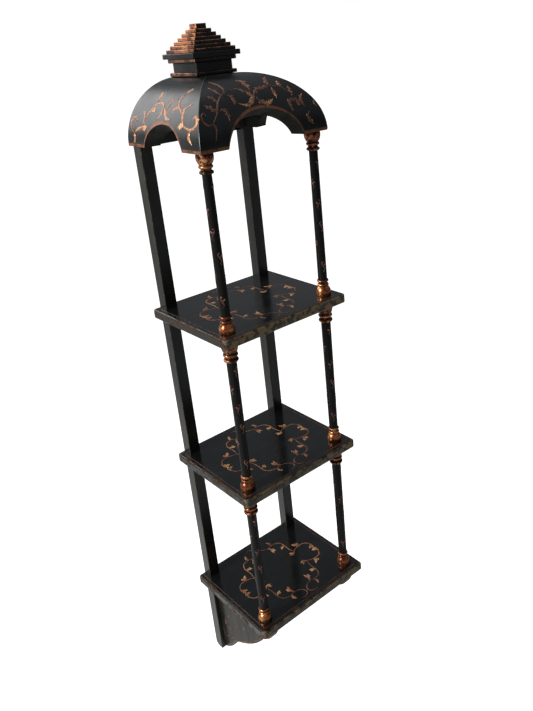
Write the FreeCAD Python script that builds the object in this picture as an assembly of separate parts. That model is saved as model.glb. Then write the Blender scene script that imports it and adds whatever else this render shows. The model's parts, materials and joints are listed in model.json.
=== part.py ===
import FreeCAD, Part
import math
import os

from FreeCAD import Vector

# A wall display shelf with a coved canopy, a stepped finial and two scalloped brackets.
# Millimetres. X runs to the right, Y towards the wall, Z up, and the wall is the plane Y = 0.
# The origin lies on the wall, midway between the two keyhole entries that the shelf hangs by.

# Clearance between a piece and the hole or seat that it goes into
FIT = 0.15
END_ROOM = 1.0

# Shelves and the bays between them
SHELF_WIDTH = 254.0
SHELF_DEPTH = 215.0
SHELF_THICKNESS = 16.0
SHELF_CORNER_RADIUS = 5.0
SHELF_TOP_EASE = 3.0
SHELF_BOTTOM_EASE = 2.5
BAY_HEIGHT = 276.0
SHELF_NAMES = ("top", "middle", "bottom")

# Rear posts
POST_SIDE = 21.8
POST_INSET = 7.0
POST_FOOT_LENGTH = 178.0
POST_FOOT_ROUND = 11.0
POST_EDGE_EASE = 1.2

# Turned columns, set in from the edges of the shelves
COLUMN_SIDE_INSET = 25.0
COLUMN_FRONT_INSET = 28.0
FOOT_BULB_DIAMETER = 25.8
FOOT_BEAD_DIAMETER = 20.0
SHAFT_BOTTOM_DIAMETER = 15.9
UPPER_HEAD_BULB_DIAMETER = 26.6
UPPER_HEAD_BEAD_DIAMETER = 21.6
UPPER_SHAFT_TOP_DIAMETER = 14.4
LOWER_HEAD_BULB_DIAMETER = 27.4
LOWER_HEAD_BEAD_DIAMETER = 24.6
LOWER_SHAFT_TOP_DIAMETER = 17.0
BULB_HEIGHT = 16.2
BULB_WIDEST_HEIGHT = 4.8
BEAD_HEIGHT = 4.4
NECK_HEIGHT = 3.0

# Shares of a bulb's or bead's width, and how much taller the heads are than the feet
BULB_FOOT_SHARE = 0.93
BULB_TOP_SHARE = 0.81
NECK_SHARE = 0.74
UPPER_HEAD_STRETCH = 1.08
LOWER_HEAD_STRETCH = 1.2

# Studs at the ends of the columns and on the posts, and screws under the lowest columns
STUD_DIAMETER = 6.0
STUD_GRIP = 22.0
FOOT_SCREW_HEAD_DIAMETER = 11.0

# Canopy, smaller than the shelves and coved on all four sides, least at the back
HANGER_DROP = 60.0
CANOPY_SIDE_SETBACK = 8.0
CANOPY_FRONT_SETBACK = 9.5
CANOPY_WALL = 25.0
CANOPY_TOP_THICKNESS = 12.0
CANOPY_SIDE_RUN = 93.5
CANOPY_FRONT_RUN = 100.0
CANOPY_BACK_RUN = 19.0
CANOPY_RISE = 95.0
FRONT_ARCH_WIDTH = 142.0
FRONT_ARCH_RISE = 54.0
SIDE_ARCH_WIDTH = 107.0
SIDE_ARCH_RISE = 40.0
ARCH_CUT_SLOPE = 0.55
BACK_PANEL_THICKNESS = 10.0
BACK_PANEL_DROP = 5.0
CORNER_BLOCK_HEIGHT = 28.0
CORNER_BLOCK_SIDE = 16.0
CANOPY_CLEAT_SIDE = 14.0
CANOPY_CLEAT_LENGTH = 30.0

# Finial, from the canopy upwards
FINIAL_BASE_SIDE = 76.0
FINIAL_BASE_HEIGHT = 5.7
FINIAL_NECK_SIDE = 66.4
FINIAL_NECK_HEIGHT = 14.3
FINIAL_BED_SIDE = 77.0
FINIAL_BED_HEIGHT = 6.2
FINIAL_SLAB_SIDE = 87.4
FINIAL_SLAB_HEIGHT = 7.5
FINIAL_STEP_COUNT = 6
FINIAL_STEP_HEIGHT = 5.5
FINIAL_STEP_INSET = 4.85
FINIAL_CAP_SIDE = 18.8
FINIAL_CAP_HEIGHT = 7.6
FINIAL_MOULDING_EASE = 2.2
FINIAL_PLATE_EASE = 0.8
ROD_DIAMETER = 6.0
ROD_CAP_GRIP = 4.5
ROD_TAIL = 3.0
WASHER_DIAMETER = 18.0
WASHER_THICKNESS = 1.6
NUT_ACROSS_FLATS = 10.0
NUT_HEIGHT = 5.0

# Side brackets under the bottom shelf; cusps are measured from the post and the shelf
BRACKET_THICKNESS = 12.5
BRACKET_TOE_RISE = 1.0
BRACKET_TIP_GAP = 6.0
LOWER_CUSP_OUT = 49.0
LOWER_CUSP_DROP = 128.0
UPPER_CUSP_OUT = 155.0
UPPER_CUSP_DROP = 41.0
FOOT_LOBE_BULGE = 5.5
LONG_LOBE_BULGE = 8.5
TIP_LOBE_BULGE = 6.5
BRACKET_CLEAT_SIDE = 14.0
BRACKET_CLEAT_LENGTH = 110.0

# Wood screws
SCREW_DIAMETER = 4.2
SCREW_HEAD_DIAMETER = 8.2
SHELF_SCREW_LENGTH = 50.0
BRACKET_SCREW_LENGTH = 48.0
BRACKET_SCREW_UPPER_DROP = 40.0
BRACKET_SCREW_LOWER_DROP = 120.0
SMALL_SCREW_DIAMETER = 3.2
SMALL_SCREW_HEAD_DIAMETER = 6.2
CLEAT_SCREW_BITE = 11.0
CLEAT_SCREW_END = 22.0
CANOPY_SCREW_SPREAD = 12.0

# Keyhole hangers let into the backs of the posts
HANGER_WIDTH = 15.0
HANGER_LENGTH = 44.0
HANGER_THICKNESS = 2.0
HANGER_ENTRY_HEIGHT = 17.0
HANGER_SCREW_EDGE = 5.5
HANGER_SCREW_LENGTH = 14.0
KEYHOLE_ENTRY_DIAMETER = 9.0
KEYHOLE_SLOT_WIDTH = 4.6
KEYHOLE_SLOT_LENGTH = 10.0
KEYHOLE_POCKET_DEPTH = 8.0
KEYHOLE_POCKET_ROOM = 1.0

# Places that follow from the sizes above
HALF_WIDTH = SHELF_WIDTH / 2
FRONT_Y = -SHELF_DEPTH
CANOPY_HALF_WIDTH = HALF_WIDTH - CANOPY_SIDE_SETBACK
CANOPY_FRONT_Y = FRONT_Y + CANOPY_FRONT_SETBACK
CANOPY_INNER_X = CANOPY_HALF_WIDTH - CANOPY_WALL
POST_OUTER_X = CANOPY_HALF_WIDTH - POST_INSET
POST_INNER_X = POST_OUTER_X - POST_SIDE
POST_CENTRE_X = POST_OUTER_X - POST_SIDE / 2
COLUMN_X = HALF_WIDTH - COLUMN_SIDE_INSET
COLUMN_Y = FRONT_Y + COLUMN_FRONT_INSET
CANOPY_Z = HANGER_DROP
SHELF_PITCH = BAY_HEIGHT + SHELF_THICKNESS
SHELF_TOPS = [CANOPY_Z - BAY_HEIGHT - level * SHELF_PITCH for level in range(len(SHELF_NAMES))]
UNDERSIDE_Z = SHELF_TOPS[-1] - SHELF_THICKNESS
FOOT_Z = UNDERSIDE_Z - POST_FOOT_LENGTH
CANOPY_TOP_Z = CANOPY_Z + CANOPY_RISE
FLAT_HALF_WIDTH = CANOPY_HALF_WIDTH - CANOPY_SIDE_RUN
FLAT_FRONT_Y = CANOPY_FRONT_Y + CANOPY_FRONT_RUN
FLAT_BACK_Y = -CANOPY_BACK_RUN
FINIAL_Y = FLAT_BACK_Y - FINIAL_BASE_SIDE / 2
SIDES = {"left": -1, "right": 1}
COLUMN_FOOT = (FOOT_BULB_DIAMETER, FOOT_BEAD_DIAMETER, SHAFT_BOTTOM_DIAMETER, 1.0)
UPPER_HEAD = (
    UPPER_HEAD_BULB_DIAMETER, UPPER_HEAD_BEAD_DIAMETER, UPPER_SHAFT_TOP_DIAMETER, UPPER_HEAD_STRETCH
)
LOWER_HEAD = (
    LOWER_HEAD_BULB_DIAMETER, LOWER_HEAD_BEAD_DIAMETER, LOWER_SHAFT_TOP_DIAMETER, LOWER_HEAD_STRETCH
)
COLUMN_HEADS = {"upper": UPPER_HEAD, "middle": LOWER_HEAD, "lower": LOWER_HEAD}


def box(x_range, y_range, z_range):
    """A block between two limits on each axis, given in either order."""
    low = [min(limits) for limits in (x_range, y_range, z_range)]
    high = [max(limits) for limits in (x_range, y_range, z_range)]
    return Part.makeBox(high[0] - low[0], high[1] - low[1], high[2] - low[2], Vector(*low))


def line(start, end):
    """A straight edge."""
    return Part.LineSegment(start, end).toShape()


def bulged_arc(start, end, bulge):
    """A circular arc from start to end that stands bulge away from the chord, to the right of it, in YZ."""
    chord = end - start
    sideways = Vector(0, chord.z, -chord.y).normalize()
    middle = (start + end) * 0.5 + sideways * bulge
    return Part.Arc(start, middle, end).toShape()


def quarter_ellipse(start, corner, end):
    """An exact quarter ellipse from start to end, tangent to the two lines that meet at corner."""
    curve = Part.BezierCurve()
    curve.setPoles([start, corner, end])
    curve.setWeight(2, math.sqrt(0.5))
    return curve.toShape()


def prism(edges, direction):
    """The solid that a closed flat outline sweeps along a direction."""
    return Part.Face(Part.Wire(edges)).extrude(direction)


def polygon_prism(points, direction):
    """The solid that a straight-sided outline sweeps along a direction."""
    return Part.Face(Part.makePolygon(points + points[:1])).extrude(direction)


def screw(point, direction, length, diameter, head_diameter, room=0.0):
    """A countersunk screw with its head flush at point; room makes the hole for it instead."""
    head_height = (head_diameter - diameter) / 2
    head = Part.makeCone(head_diameter / 2 + room, diameter / 2 + room, head_height, point, direction)
    shank = Part.makeCylinder(diameter / 2 + room, length + room, point, direction)
    return head.fuse(shank).removeSplitter()


def mirrored(shape):
    """The same piece on the other side of the plane X = 0."""
    return shape.mirror(Vector(0, 0, 0), Vector(1, 0, 0))


def on_both_sides(shape):
    """A left-hand piece and its right-hand mirror image, by side name."""
    return {"left": shape, "right": mirrored(shape)}


def drilled(shape, holes):
    """A piece with a list of holes cut into it."""
    for hole in holes:
        shape = shape.cut(hole)
    return shape


def save(node, solids):
    """Write one node, as a single solid or as a group of separate solids."""
    if isinstance(solids, list):
        solids = Part.makeCompound(solids)
    solids.exportStep("parts/" + node + ".step")


def shelf_screw_places():
    """Where the screws through the posts enter each shelf, at half its thickness."""
    return [
        Vector(side * POST_CENTRE_X, 0, top - SHELF_THICKNESS / 2)
        for top in SHELF_TOPS
        for side in SIDES.values()
    ]


def shelf_screws(room=0.0):
    """Screws from the backs of the posts into the shelves."""
    towards_front = Vector(0, -1, 0)
    return [
        screw(place, towards_front, SHELF_SCREW_LENGTH, SCREW_DIAMETER, SCREW_HEAD_DIAMETER, room)
        for place in shelf_screw_places()
    ]


def bracket_screws(room=0.0):
    """Screws from the backs of the posts into the brackets."""
    towards_front = Vector(0, -1, 0)
    bracket_middle_x = POST_INNER_X + BRACKET_THICKNESS / 2
    return [
        screw(
            Vector(side * bracket_middle_x, 0, UNDERSIDE_Z - drop),
            towards_front,
            BRACKET_SCREW_LENGTH,
            SCREW_DIAMETER,
            SCREW_HEAD_DIAMETER,
            room,
        )
        for drop in (BRACKET_SCREW_UPPER_DROP, BRACKET_SCREW_LOWER_DROP)
        for side in SIDES.values()
    ]


def bracket_cleat_screws(room=0.0):
    """Screws that go up through the bracket cleats into the bottom shelf."""
    upwards = Vector(0, 0, 1)
    middle_x = POST_INNER_X - BRACKET_CLEAT_SIDE / 2
    back_y = -POST_SIDE - CLEAT_SCREW_END
    front_y = -POST_SIDE - BRACKET_CLEAT_LENGTH + CLEAT_SCREW_END
    return [
        screw(
            Vector(side * middle_x, y, UNDERSIDE_Z - BRACKET_CLEAT_SIDE),
            upwards,
            BRACKET_CLEAT_SIDE + CLEAT_SCREW_BITE,
            SMALL_SCREW_DIAMETER,
            SMALL_SCREW_HEAD_DIAMETER,
            room,
        )
        for y in (back_y, front_y)
        for side in SIDES.values()
    ]


def canopy_screws(room=0.0):
    """Screws through the back panel into the canopy cleats, and through the cleats into the side panels."""
    cleat_middle_x = CANOPY_INNER_X - CANOPY_CLEAT_SIDE / 2
    cleat_middle_y = -BACK_PANEL_THICKNESS - CANOPY_CLEAT_SIDE / 2
    middle_z = CANOPY_Z + CANOPY_CLEAT_LENGTH / 2
    low_z = middle_z - CANOPY_SCREW_SPREAD / 2
    high_z = middle_z + CANOPY_SCREW_SPREAD / 2
    screws = []
    for side in SIDES.values():
        screws.append(
            screw(
                Vector(side * cleat_middle_x, 0, low_z),
                Vector(0, -1, 0),
                BACK_PANEL_THICKNESS + CLEAT_SCREW_BITE,
                SMALL_SCREW_DIAMETER,
                SMALL_SCREW_HEAD_DIAMETER,
                room,
            )
        )
        screws.append(
            screw(
                Vector(side * (CANOPY_INNER_X - CANOPY_CLEAT_SIDE), cleat_middle_y, high_z),
                Vector(side, 0, 0),
                CANOPY_CLEAT_SIDE + CLEAT_SCREW_BITE,
                SMALL_SCREW_DIAMETER,
                SMALL_SCREW_HEAD_DIAMETER,
                room,
            )
        )
    return screws


def hanger_screws(room=0.0):
    """Two screws at the ends of each keyhole hanger plate."""
    low_z = -HANGER_ENTRY_HEIGHT + HANGER_SCREW_EDGE
    high_z = HANGER_LENGTH - HANGER_ENTRY_HEIGHT - HANGER_SCREW_EDGE
    return [
        screw(
            Vector(side * POST_CENTRE_X, 0, z),
            Vector(0, -1, 0),
            HANGER_SCREW_LENGTH,
            SMALL_SCREW_DIAMETER,
            SMALL_SCREW_HEAD_DIAMETER,
            room,
        )
        for z in (low_z, high_z)
        for side in SIDES.values()
    ]


def stud(x, y, bottom_z, top_z, room=0.0):
    """A headless upright stud that grips what lies below and above; room makes the hole for it instead."""
    foot = Vector(x, y, bottom_z - STUD_GRIP - room)
    return Part.makeCylinder(STUD_DIAMETER / 2 + room, top_z - bottom_z + 2 * (STUD_GRIP + room), foot)


def column_studs(levels, room=0.0):
    """Studs that start in the column below each level and end in what stands above it."""
    return [
        stud(side * COLUMN_X, COLUMN_Y, bottom_z, top_z, room)
        for bottom_z, top_z in levels
        for side in SIDES.values()
    ]


def post_studs(room=0.0):
    """Studs between the heads of the posts and the rear feet of the canopy."""
    return [
        stud(side * POST_CENTRE_X, -POST_SIDE / 2, CANOPY_Z, CANOPY_Z, room) for side in SIDES.values()
    ]


def shelf_levels():
    """The underside and top of each shelf that has columns both above and below it."""
    return [(top - SHELF_THICKNESS, top) for top in SHELF_TOPS[:-1]]


def canopy_levels():
    """The canopy's lower edge, where the columns meet its front corners."""
    return [(CANOPY_Z, CANOPY_Z)]


def foot_screws(room=0.0):
    """Screws that go up through the bottom shelf into the lowest columns."""
    return [
        screw(
            Vector(side * COLUMN_X, COLUMN_Y, UNDERSIDE_Z),
            Vector(0, 0, 1),
            SHELF_THICKNESS + STUD_GRIP,
            STUD_DIAMETER,
            FOOT_SCREW_HEAD_DIAMETER,
            room,
        )
        for side in SIDES.values()
    ]


def vault_across(side_inset, top_inset):
    """The space under the side coves, as deep as the canopy, drawn in from the outside."""
    left = -CANOPY_HALF_WIDTH + side_inset
    right = CANOPY_HALF_WIDTH - side_inset
    top = CANOPY_TOP_Z - top_inset
    edges = [
        quarter_ellipse(
            Vector(left, 0, CANOPY_Z), Vector(left, 0, top), Vector(-FLAT_HALF_WIDTH, 0, top)
        ),
        line(Vector(-FLAT_HALF_WIDTH, 0, top), Vector(FLAT_HALF_WIDTH, 0, top)),
        quarter_ellipse(
            Vector(FLAT_HALF_WIDTH, 0, top), Vector(right, 0, top), Vector(right, 0, CANOPY_Z)
        ),
        line(Vector(right, 0, CANOPY_Z), Vector(left, 0, CANOPY_Z)),
    ]
    return prism(edges, Vector(0, CANOPY_FRONT_Y, 0))


def vault_along(front_inset, back_inset, top_inset):
    """The space under the front and back coves, as wide as the canopy, drawn in from the outside."""
    x = -CANOPY_HALF_WIDTH
    front = CANOPY_FRONT_Y + front_inset
    back = -back_inset
    top = CANOPY_TOP_Z - top_inset
    edges = [
        quarter_ellipse(Vector(x, front, CANOPY_Z), Vector(x, front, top), Vector(x, FLAT_FRONT_Y, top)),
        line(Vector(x, FLAT_FRONT_Y, top), Vector(x, FLAT_BACK_Y, top)),
        quarter_ellipse(Vector(x, FLAT_BACK_Y, top), Vector(x, back, top), Vector(x, back, CANOPY_Z)),
        line(Vector(x, back, CANOPY_Z), Vector(x, front, CANOPY_Z)),
    ]
    return prism(edges, Vector(2 * CANOPY_HALF_WIDTH, 0, 0))


def under_front_and_back(room):
    """Everything between the inner skins of the front and back panels, less room."""
    return vault_along(CANOPY_WALL + room, BACK_PANEL_THICKNESS + room, CANOPY_TOP_THICKNESS + room)


def under_sides(room):
    """Everything between the inner skins of the side panels, less room."""
    return vault_across(CANOPY_WALL + room, CANOPY_TOP_THICKNESS + room)


def arch_radius(width, rise):
    """The radius of a segmental arch of a given width at its foot and a given rise."""
    return (width * width / 4 + rise * rise) / (2 * rise)


def arch_cut(foot, outward, width, rise):
    """A round-topped cut that starts outside the canopy and sinks inwards, square to the coved face."""
    radius = arch_radius(width, rise)
    centre = foot + Vector(0, 0, rise - radius)
    inwards = outward * -1 + Vector(0, 0, -ARCH_CUT_SLOPE)
    start = centre - inwards * CANOPY_WALL
    disc = Part.Face(Part.Wire(Part.makeCircle(radius, start, outward)))
    return disc.extrude(inwards * 4 * CANOPY_WALL)


def side_arch():
    """The cut through the left side of the canopy, at half its depth."""
    foot = Vector(-CANOPY_HALF_WIDTH, CANOPY_FRONT_Y / 2, CANOPY_Z)
    return arch_cut(foot, Vector(-1, 0, 0), SIDE_ARCH_WIDTH, SIDE_ARCH_RISE)


def front_arch():
    """The cut through the front of the canopy, at half its width."""
    return arch_cut(Vector(0, CANOPY_FRONT_Y, CANOPY_Z), Vector(0, -1, 0), FRONT_ARCH_WIDTH, FRONT_ARCH_RISE)


def canopy_panels():
    """The coved left, front and right panels, mitred along the hips."""
    upwards = Vector(0, 0, CANOPY_RISE)
    corner_left = Vector(-CANOPY_HALF_WIDTH, CANOPY_FRONT_Y, CANOPY_Z)
    corner_right = Vector(CANOPY_HALF_WIDTH, CANOPY_FRONT_Y, CANOPY_Z)
    flat_left = Vector(-FLAT_HALF_WIDTH, FLAT_FRONT_Y, CANOPY_Z)
    flat_right = Vector(FLAT_HALF_WIDTH, FLAT_FRONT_Y, CANOPY_Z)
    back_left = Vector(-CANOPY_HALF_WIDTH, 0, CANOPY_Z)
    flat_back_left = Vector(-FLAT_HALF_WIDTH, FLAT_BACK_Y, CANOPY_Z)
    side_plan = polygon_prism([corner_left, flat_left, flat_back_left, back_left], upwards)
    front_plan = polygon_prism([corner_left, corner_right, flat_right, flat_left], upwards)
    holes = column_studs(canopy_levels(), FIT) + post_studs(FIT) + canopy_screws(FIT)
    side_shell = vault_across(0, 0).cut(under_sides(0)).common(side_plan)
    front_shell = vault_along(0, 0, 0).cut(under_front_and_back(0)).common(front_plan)
    panels = on_both_sides(drilled(side_shell.cut(side_arch()), holes))
    panels["front"] = drilled(front_shell.cut(front_arch()), holes)
    return panels


def canopy_top_board():
    """The flat board between the upper edges of the coved panels, under the finial."""
    board_z = CANOPY_TOP_Z - CANOPY_TOP_THICKNESS
    board = box((-FLAT_HALF_WIDTH, FLAT_HALF_WIDTH), (FLAT_FRONT_Y, FLAT_BACK_Y), (board_z, CANOPY_TOP_Z))
    return board.cut(rod_hole(board_z, CANOPY_TOP_Z))


def canopy_back_panel():
    """The coved board at the back, between the side panels, with a skirt that drops between the posts."""
    reach = POST_INNER_X - FIT
    skirt = box((-reach, reach), (-BACK_PANEL_THICKNESS, 0), (CANOPY_Z - BACK_PANEL_DROP, CANOPY_Z))
    behind_flat = box((-CANOPY_HALF_WIDTH, CANOPY_HALF_WIDTH), (FLAT_BACK_Y, 0), (CANOPY_Z, CANOPY_TOP_Z))
    shell = vault_along(0, 0, 0).cut(under_front_and_back(0)).common(behind_flat)
    panel = skirt.fuse(shell.common(under_sides(FIT))).removeSplitter()
    return drilled(panel, canopy_screws(FIT))


def canopy_cleat():
    """The left upright cleat in the angle between the side panel and the back panel."""
    cleat = box(
        (-CANOPY_INNER_X, -CANOPY_INNER_X + CANOPY_CLEAT_SIDE),
        (-BACK_PANEL_THICKNESS, -BACK_PANEL_THICKNESS - CANOPY_CLEAT_SIDE),
        (CANOPY_Z, CANOPY_Z + CANOPY_CLEAT_LENGTH),
    )
    coped = cleat.common(under_front_and_back(FIT)).common(under_sides(FIT))
    return drilled(coped, canopy_screws(FIT))


def corner_block():
    """The glue block inside the canopy's left front corner, coped to the coves."""
    inner_y = CANOPY_FRONT_Y + CANOPY_WALL
    block = box(
        (-CANOPY_INNER_X, -CANOPY_INNER_X + CORNER_BLOCK_SIDE),
        (inner_y, inner_y + CORNER_BLOCK_SIDE),
        (CANOPY_Z, CANOPY_Z + CORNER_BLOCK_HEIGHT),
    )
    return block.common(under_sides(FIT)).common(under_front_and_back(FIT))


def eased_square_bar():
    """A square bar as tall as the left post, with its four long edges rounded off."""
    bar = box((-POST_OUTER_X, -POST_INNER_X), (-POST_SIDE, 0), (FOOT_Z, CANOPY_Z))
    long_edges = [edge for edge in bar.Edges if edge.BoundBox.ZLength > POST_SIDE]
    return bar.makeFillet(POST_EDGE_EASE, long_edges)


def rear_post():
    """The left post: square, round at the back of its foot, bored at its head for a stud."""
    x = -POST_OUTER_X
    back_round = POST_FOOT_ROUND * (1 - math.sqrt(0.5))
    foot_edges = [
        line(Vector(x, 0, CANOPY_Z), Vector(x, -POST_SIDE, CANOPY_Z)),
        line(Vector(x, -POST_SIDE, CANOPY_Z), Vector(x, -POST_SIDE, FOOT_Z)),
        line(Vector(x, -POST_SIDE, FOOT_Z), Vector(x, -POST_FOOT_ROUND, FOOT_Z)),
        Part.Arc(
            Vector(x, -POST_FOOT_ROUND, FOOT_Z),
            Vector(x, -back_round, FOOT_Z + back_round),
            Vector(x, 0, FOOT_Z + POST_FOOT_ROUND),
        ).toShape(),
        line(Vector(x, 0, FOOT_Z + POST_FOOT_ROUND), Vector(x, 0, CANOPY_Z)),
    ]
    post = prism(foot_edges, Vector(POST_SIDE, 0, 0)).common(eased_square_bar())
    holes = shelf_screws(FIT) + bracket_screws(FIT) + post_studs(FIT) + hanger_screws(FIT)
    return drilled(post.cut(hanger_recess()), holes)


def shelf(level):
    """One shelf, notched round the posts and bored for the studs or screws of its columns."""
    top = SHELF_TOPS[level]
    board = box((-HALF_WIDTH, HALF_WIDTH), (FRONT_Y, 0), (top - SHELF_THICKNESS, top))
    upright = [edge for edge in board.Edges if edge.BoundBox.ZLength > SHELF_THICKNESS / 2]
    board = board.makeFillet(SHELF_CORNER_RADIUS, upright)
    rims = {top: SHELF_TOP_EASE, top - SHELF_THICKNESS: SHELF_BOTTOM_EASE}
    for height, ease in rims.items():
        rim = [edge for edge in board.Edges if is_level_at(edge, height)]
        board = board.makeFillet(ease, rim)
    notches = [
        box(
            (side * (POST_OUTER_X + FIT), side * (POST_INNER_X - FIT)),
            (-POST_SIDE, 0),
            (top - SHELF_THICKNESS, top),
        )
        for side in SIDES.values()
    ]
    holes = shelf_screws(FIT)
    if level == len(SHELF_NAMES) - 1:
        holes += foot_screws(FIT) + bracket_cleat_screws(FIT)
    else:
        holes += column_studs(shelf_levels(), FIT)
    return drilled(board, notches + holes)


def is_level_at(edge, height):
    """True for an edge that lies flat at a given height."""
    limits = edge.BoundBox
    tolerance = FIT / 10
    return abs(limits.ZMin - height) < tolerance and abs(limits.ZMax - height) < tolerance


def turned_end(foot_z, direction, end):
    """Half outline of one column end: bulb, bead, neck, bead. direction is 1 upwards and -1 downwards."""
    bulb_diameter, bead_diameter, shaft_diameter, stretch = end
    bulb = bulb_diameter / 2
    bead = bead_diameter / 2
    shaft = shaft_diameter / 2
    foot = bulb * BULB_FOOT_SHARE
    bulb_top = bead * BULB_TOP_SHARE
    neck = bead * NECK_SHARE

    def point(radius, height):
        return Vector(radius, 0, foot_z + direction * stretch * height)

    first_bead = BULB_HEIGHT + BEAD_HEIGHT
    second_bead = first_bead + NECK_HEIGHT + BEAD_HEIGHT
    edges = [
        line(point(0, 0), point(foot, 0)),
        Part.Arc(point(foot, 0), point(bulb, BULB_WIDEST_HEIGHT), point(bulb_top, BULB_HEIGHT)).toShape(),
        Part.Arc(
            point(bulb_top, BULB_HEIGHT), point(bead, first_bead - BEAD_HEIGHT / 2), point(neck, first_bead)
        ).toShape(),
        line(point(neck, first_bead), point(neck, first_bead + NECK_HEIGHT)),
        Part.Arc(
            point(neck, first_bead + NECK_HEIGHT),
            point(bead, second_bead - BEAD_HEIGHT / 2),
            point(shaft, second_bead),
        ).toShape(),
    ]
    return edges, point(shaft, second_bead)


def column(head):
    """A turned column standing at the origin under a given head, bored at both ends for the studs."""
    base_edges, shaft_foot = turned_end(0, 1, COLUMN_FOOT)
    head_edges, shaft_head = turned_end(BAY_HEIGHT, -1, head)
    axis = line(Vector(0, 0, BAY_HEIGHT), Vector(0, 0, 0))
    outline = base_edges + [line(shaft_foot, shaft_head)] + head_edges[::-1] + [axis]
    turned = Part.Face(Part.Wire(Part.__sortEdges__(outline))).revolve(Vector(), Vector(0, 0, 1), 360)
    bore_depth = STUD_GRIP + END_ROOM
    bore_radius = STUD_DIAMETER / 2 + FIT
    bores = [
        Part.makeCylinder(bore_radius, bore_depth),
        Part.makeCylinder(bore_radius, bore_depth, Vector(0, 0, BAY_HEIGHT - bore_depth)),
    ]
    return drilled(turned, bores)


def rod_hole(low_z, high_z):
    """The hole for the finial rod between two heights."""
    return Part.makeCylinder(ROD_DIAMETER / 2 + FIT, high_z - low_z, Vector(0, FINIAL_Y, low_z))


def square_plate(side, low_z, height, ease):
    """A square finial plate on the rod's axis with its long edges eased."""
    plate = box(
        (-side / 2, side / 2), (FINIAL_Y - side / 2, FINIAL_Y + side / 2), (low_z, low_z + height)
    )
    return plate.makeFillet(min(ease, 0.45 * height), plate.Edges)


def finial_plates():
    """Every finial plate with its name, foot and solid, from the base moulding up to the cap."""
    layers = [
        ("finial_base_moulding", FINIAL_BASE_SIDE, FINIAL_BASE_HEIGHT, FINIAL_MOULDING_EASE),
        ("finial_neck", FINIAL_NECK_SIDE, FINIAL_NECK_HEIGHT, FINIAL_PLATE_EASE),
        ("finial_bed_moulding", FINIAL_BED_SIDE, FINIAL_BED_HEIGHT, FINIAL_MOULDING_EASE),
        ("finial_cornice_slab", FINIAL_SLAB_SIDE, FINIAL_SLAB_HEIGHT, FINIAL_PLATE_EASE),
    ]
    for number in range(1, FINIAL_STEP_COUNT + 1):
        side = FINIAL_SLAB_SIDE - 2 * number * FINIAL_STEP_INSET
        layers.append(("finial_step_%d" % number, side, FINIAL_STEP_HEIGHT, FINIAL_PLATE_EASE))
    plates = {}
    low_z = CANOPY_TOP_Z
    for name, side, height, ease in layers:
        plate = square_plate(side, low_z, height, ease)
        plates[name] = plate.cut(rod_hole(low_z, low_z + height))
        low_z += height
    cap = square_plate(FINIAL_CAP_SIDE, low_z, FINIAL_CAP_HEIGHT, FINIAL_PLATE_EASE)
    plates["finial_cap"] = cap.cut(rod_hole(low_z, low_z + ROD_CAP_GRIP + FIT))
    return plates, low_z + ROD_CAP_GRIP


def finial_rod_set(rod_top_z):
    """The rod that clamps the finial plates to the canopy, with its washer and nut under the top board."""
    board_z = CANOPY_TOP_Z - CANOPY_TOP_THICKNESS
    washer_z = board_z - WASHER_THICKNESS
    nut_z = washer_z - NUT_HEIGHT
    rod_foot_z = nut_z - ROD_TAIL
    rod = Part.makeCylinder(ROD_DIAMETER / 2, rod_top_z - rod_foot_z, Vector(0, FINIAL_Y, rod_foot_z))
    washer = Part.makeCylinder(WASHER_DIAMETER / 2, WASHER_THICKNESS, Vector(0, FINIAL_Y, washer_z))
    corner_radius = NUT_ACROSS_FLATS / math.sqrt(3)
    corners = [
        Vector(
            corner_radius * math.cos(math.radians(60 * index)),
            FINIAL_Y + corner_radius * math.sin(math.radians(60 * index)),
            nut_z,
        )
        for index in range(6)
    ]
    nut = polygon_prism(corners, Vector(0, 0, NUT_HEIGHT))
    return {
        "finial_rod": rod,
        "finial_washer": washer.cut(rod_hole(washer_z, board_z)),
        "finial_nut": nut.cut(rod_hole(nut_z, washer_z)),
    }


def bracket():
    """The left side bracket: upright against the post, level under the shelf, lobed on its slope."""
    x = -POST_INNER_X - BRACKET_THICKNESS
    heel = Vector(x, -POST_SIDE, UNDERSIDE_Z)
    toe = Vector(x, -POST_SIDE, FOOT_Z + BRACKET_TOE_RISE)
    lower_cusp = Vector(x, -POST_SIDE - LOWER_CUSP_OUT, UNDERSIDE_Z - LOWER_CUSP_DROP)
    upper_cusp = Vector(x, -POST_SIDE - UPPER_CUSP_OUT, UNDERSIDE_Z - UPPER_CUSP_DROP)
    tip = Vector(x, FRONT_Y + BRACKET_TIP_GAP, UNDERSIDE_Z)
    edges = [
        line(heel, toe),
        bulged_arc(toe, lower_cusp, -FOOT_LOBE_BULGE),
        bulged_arc(lower_cusp, upper_cusp, -LONG_LOBE_BULGE),
        bulged_arc(upper_cusp, tip, -TIP_LOBE_BULGE),
        line(tip, heel),
    ]
    return drilled(prism(edges, Vector(BRACKET_THICKNESS, 0, 0)), bracket_screws(FIT))


def bracket_cleat():
    """The left strip in the angle between bracket and bottom shelf."""
    cleat = box(
        (-POST_INNER_X, -POST_INNER_X + BRACKET_CLEAT_SIDE),
        (-POST_SIDE, -POST_SIDE - BRACKET_CLEAT_LENGTH),
        (UNDERSIDE_Z - BRACKET_CLEAT_SIDE, UNDERSIDE_Z),
    )
    return drilled(cleat, bracket_cleat_screws(FIT))


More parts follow.
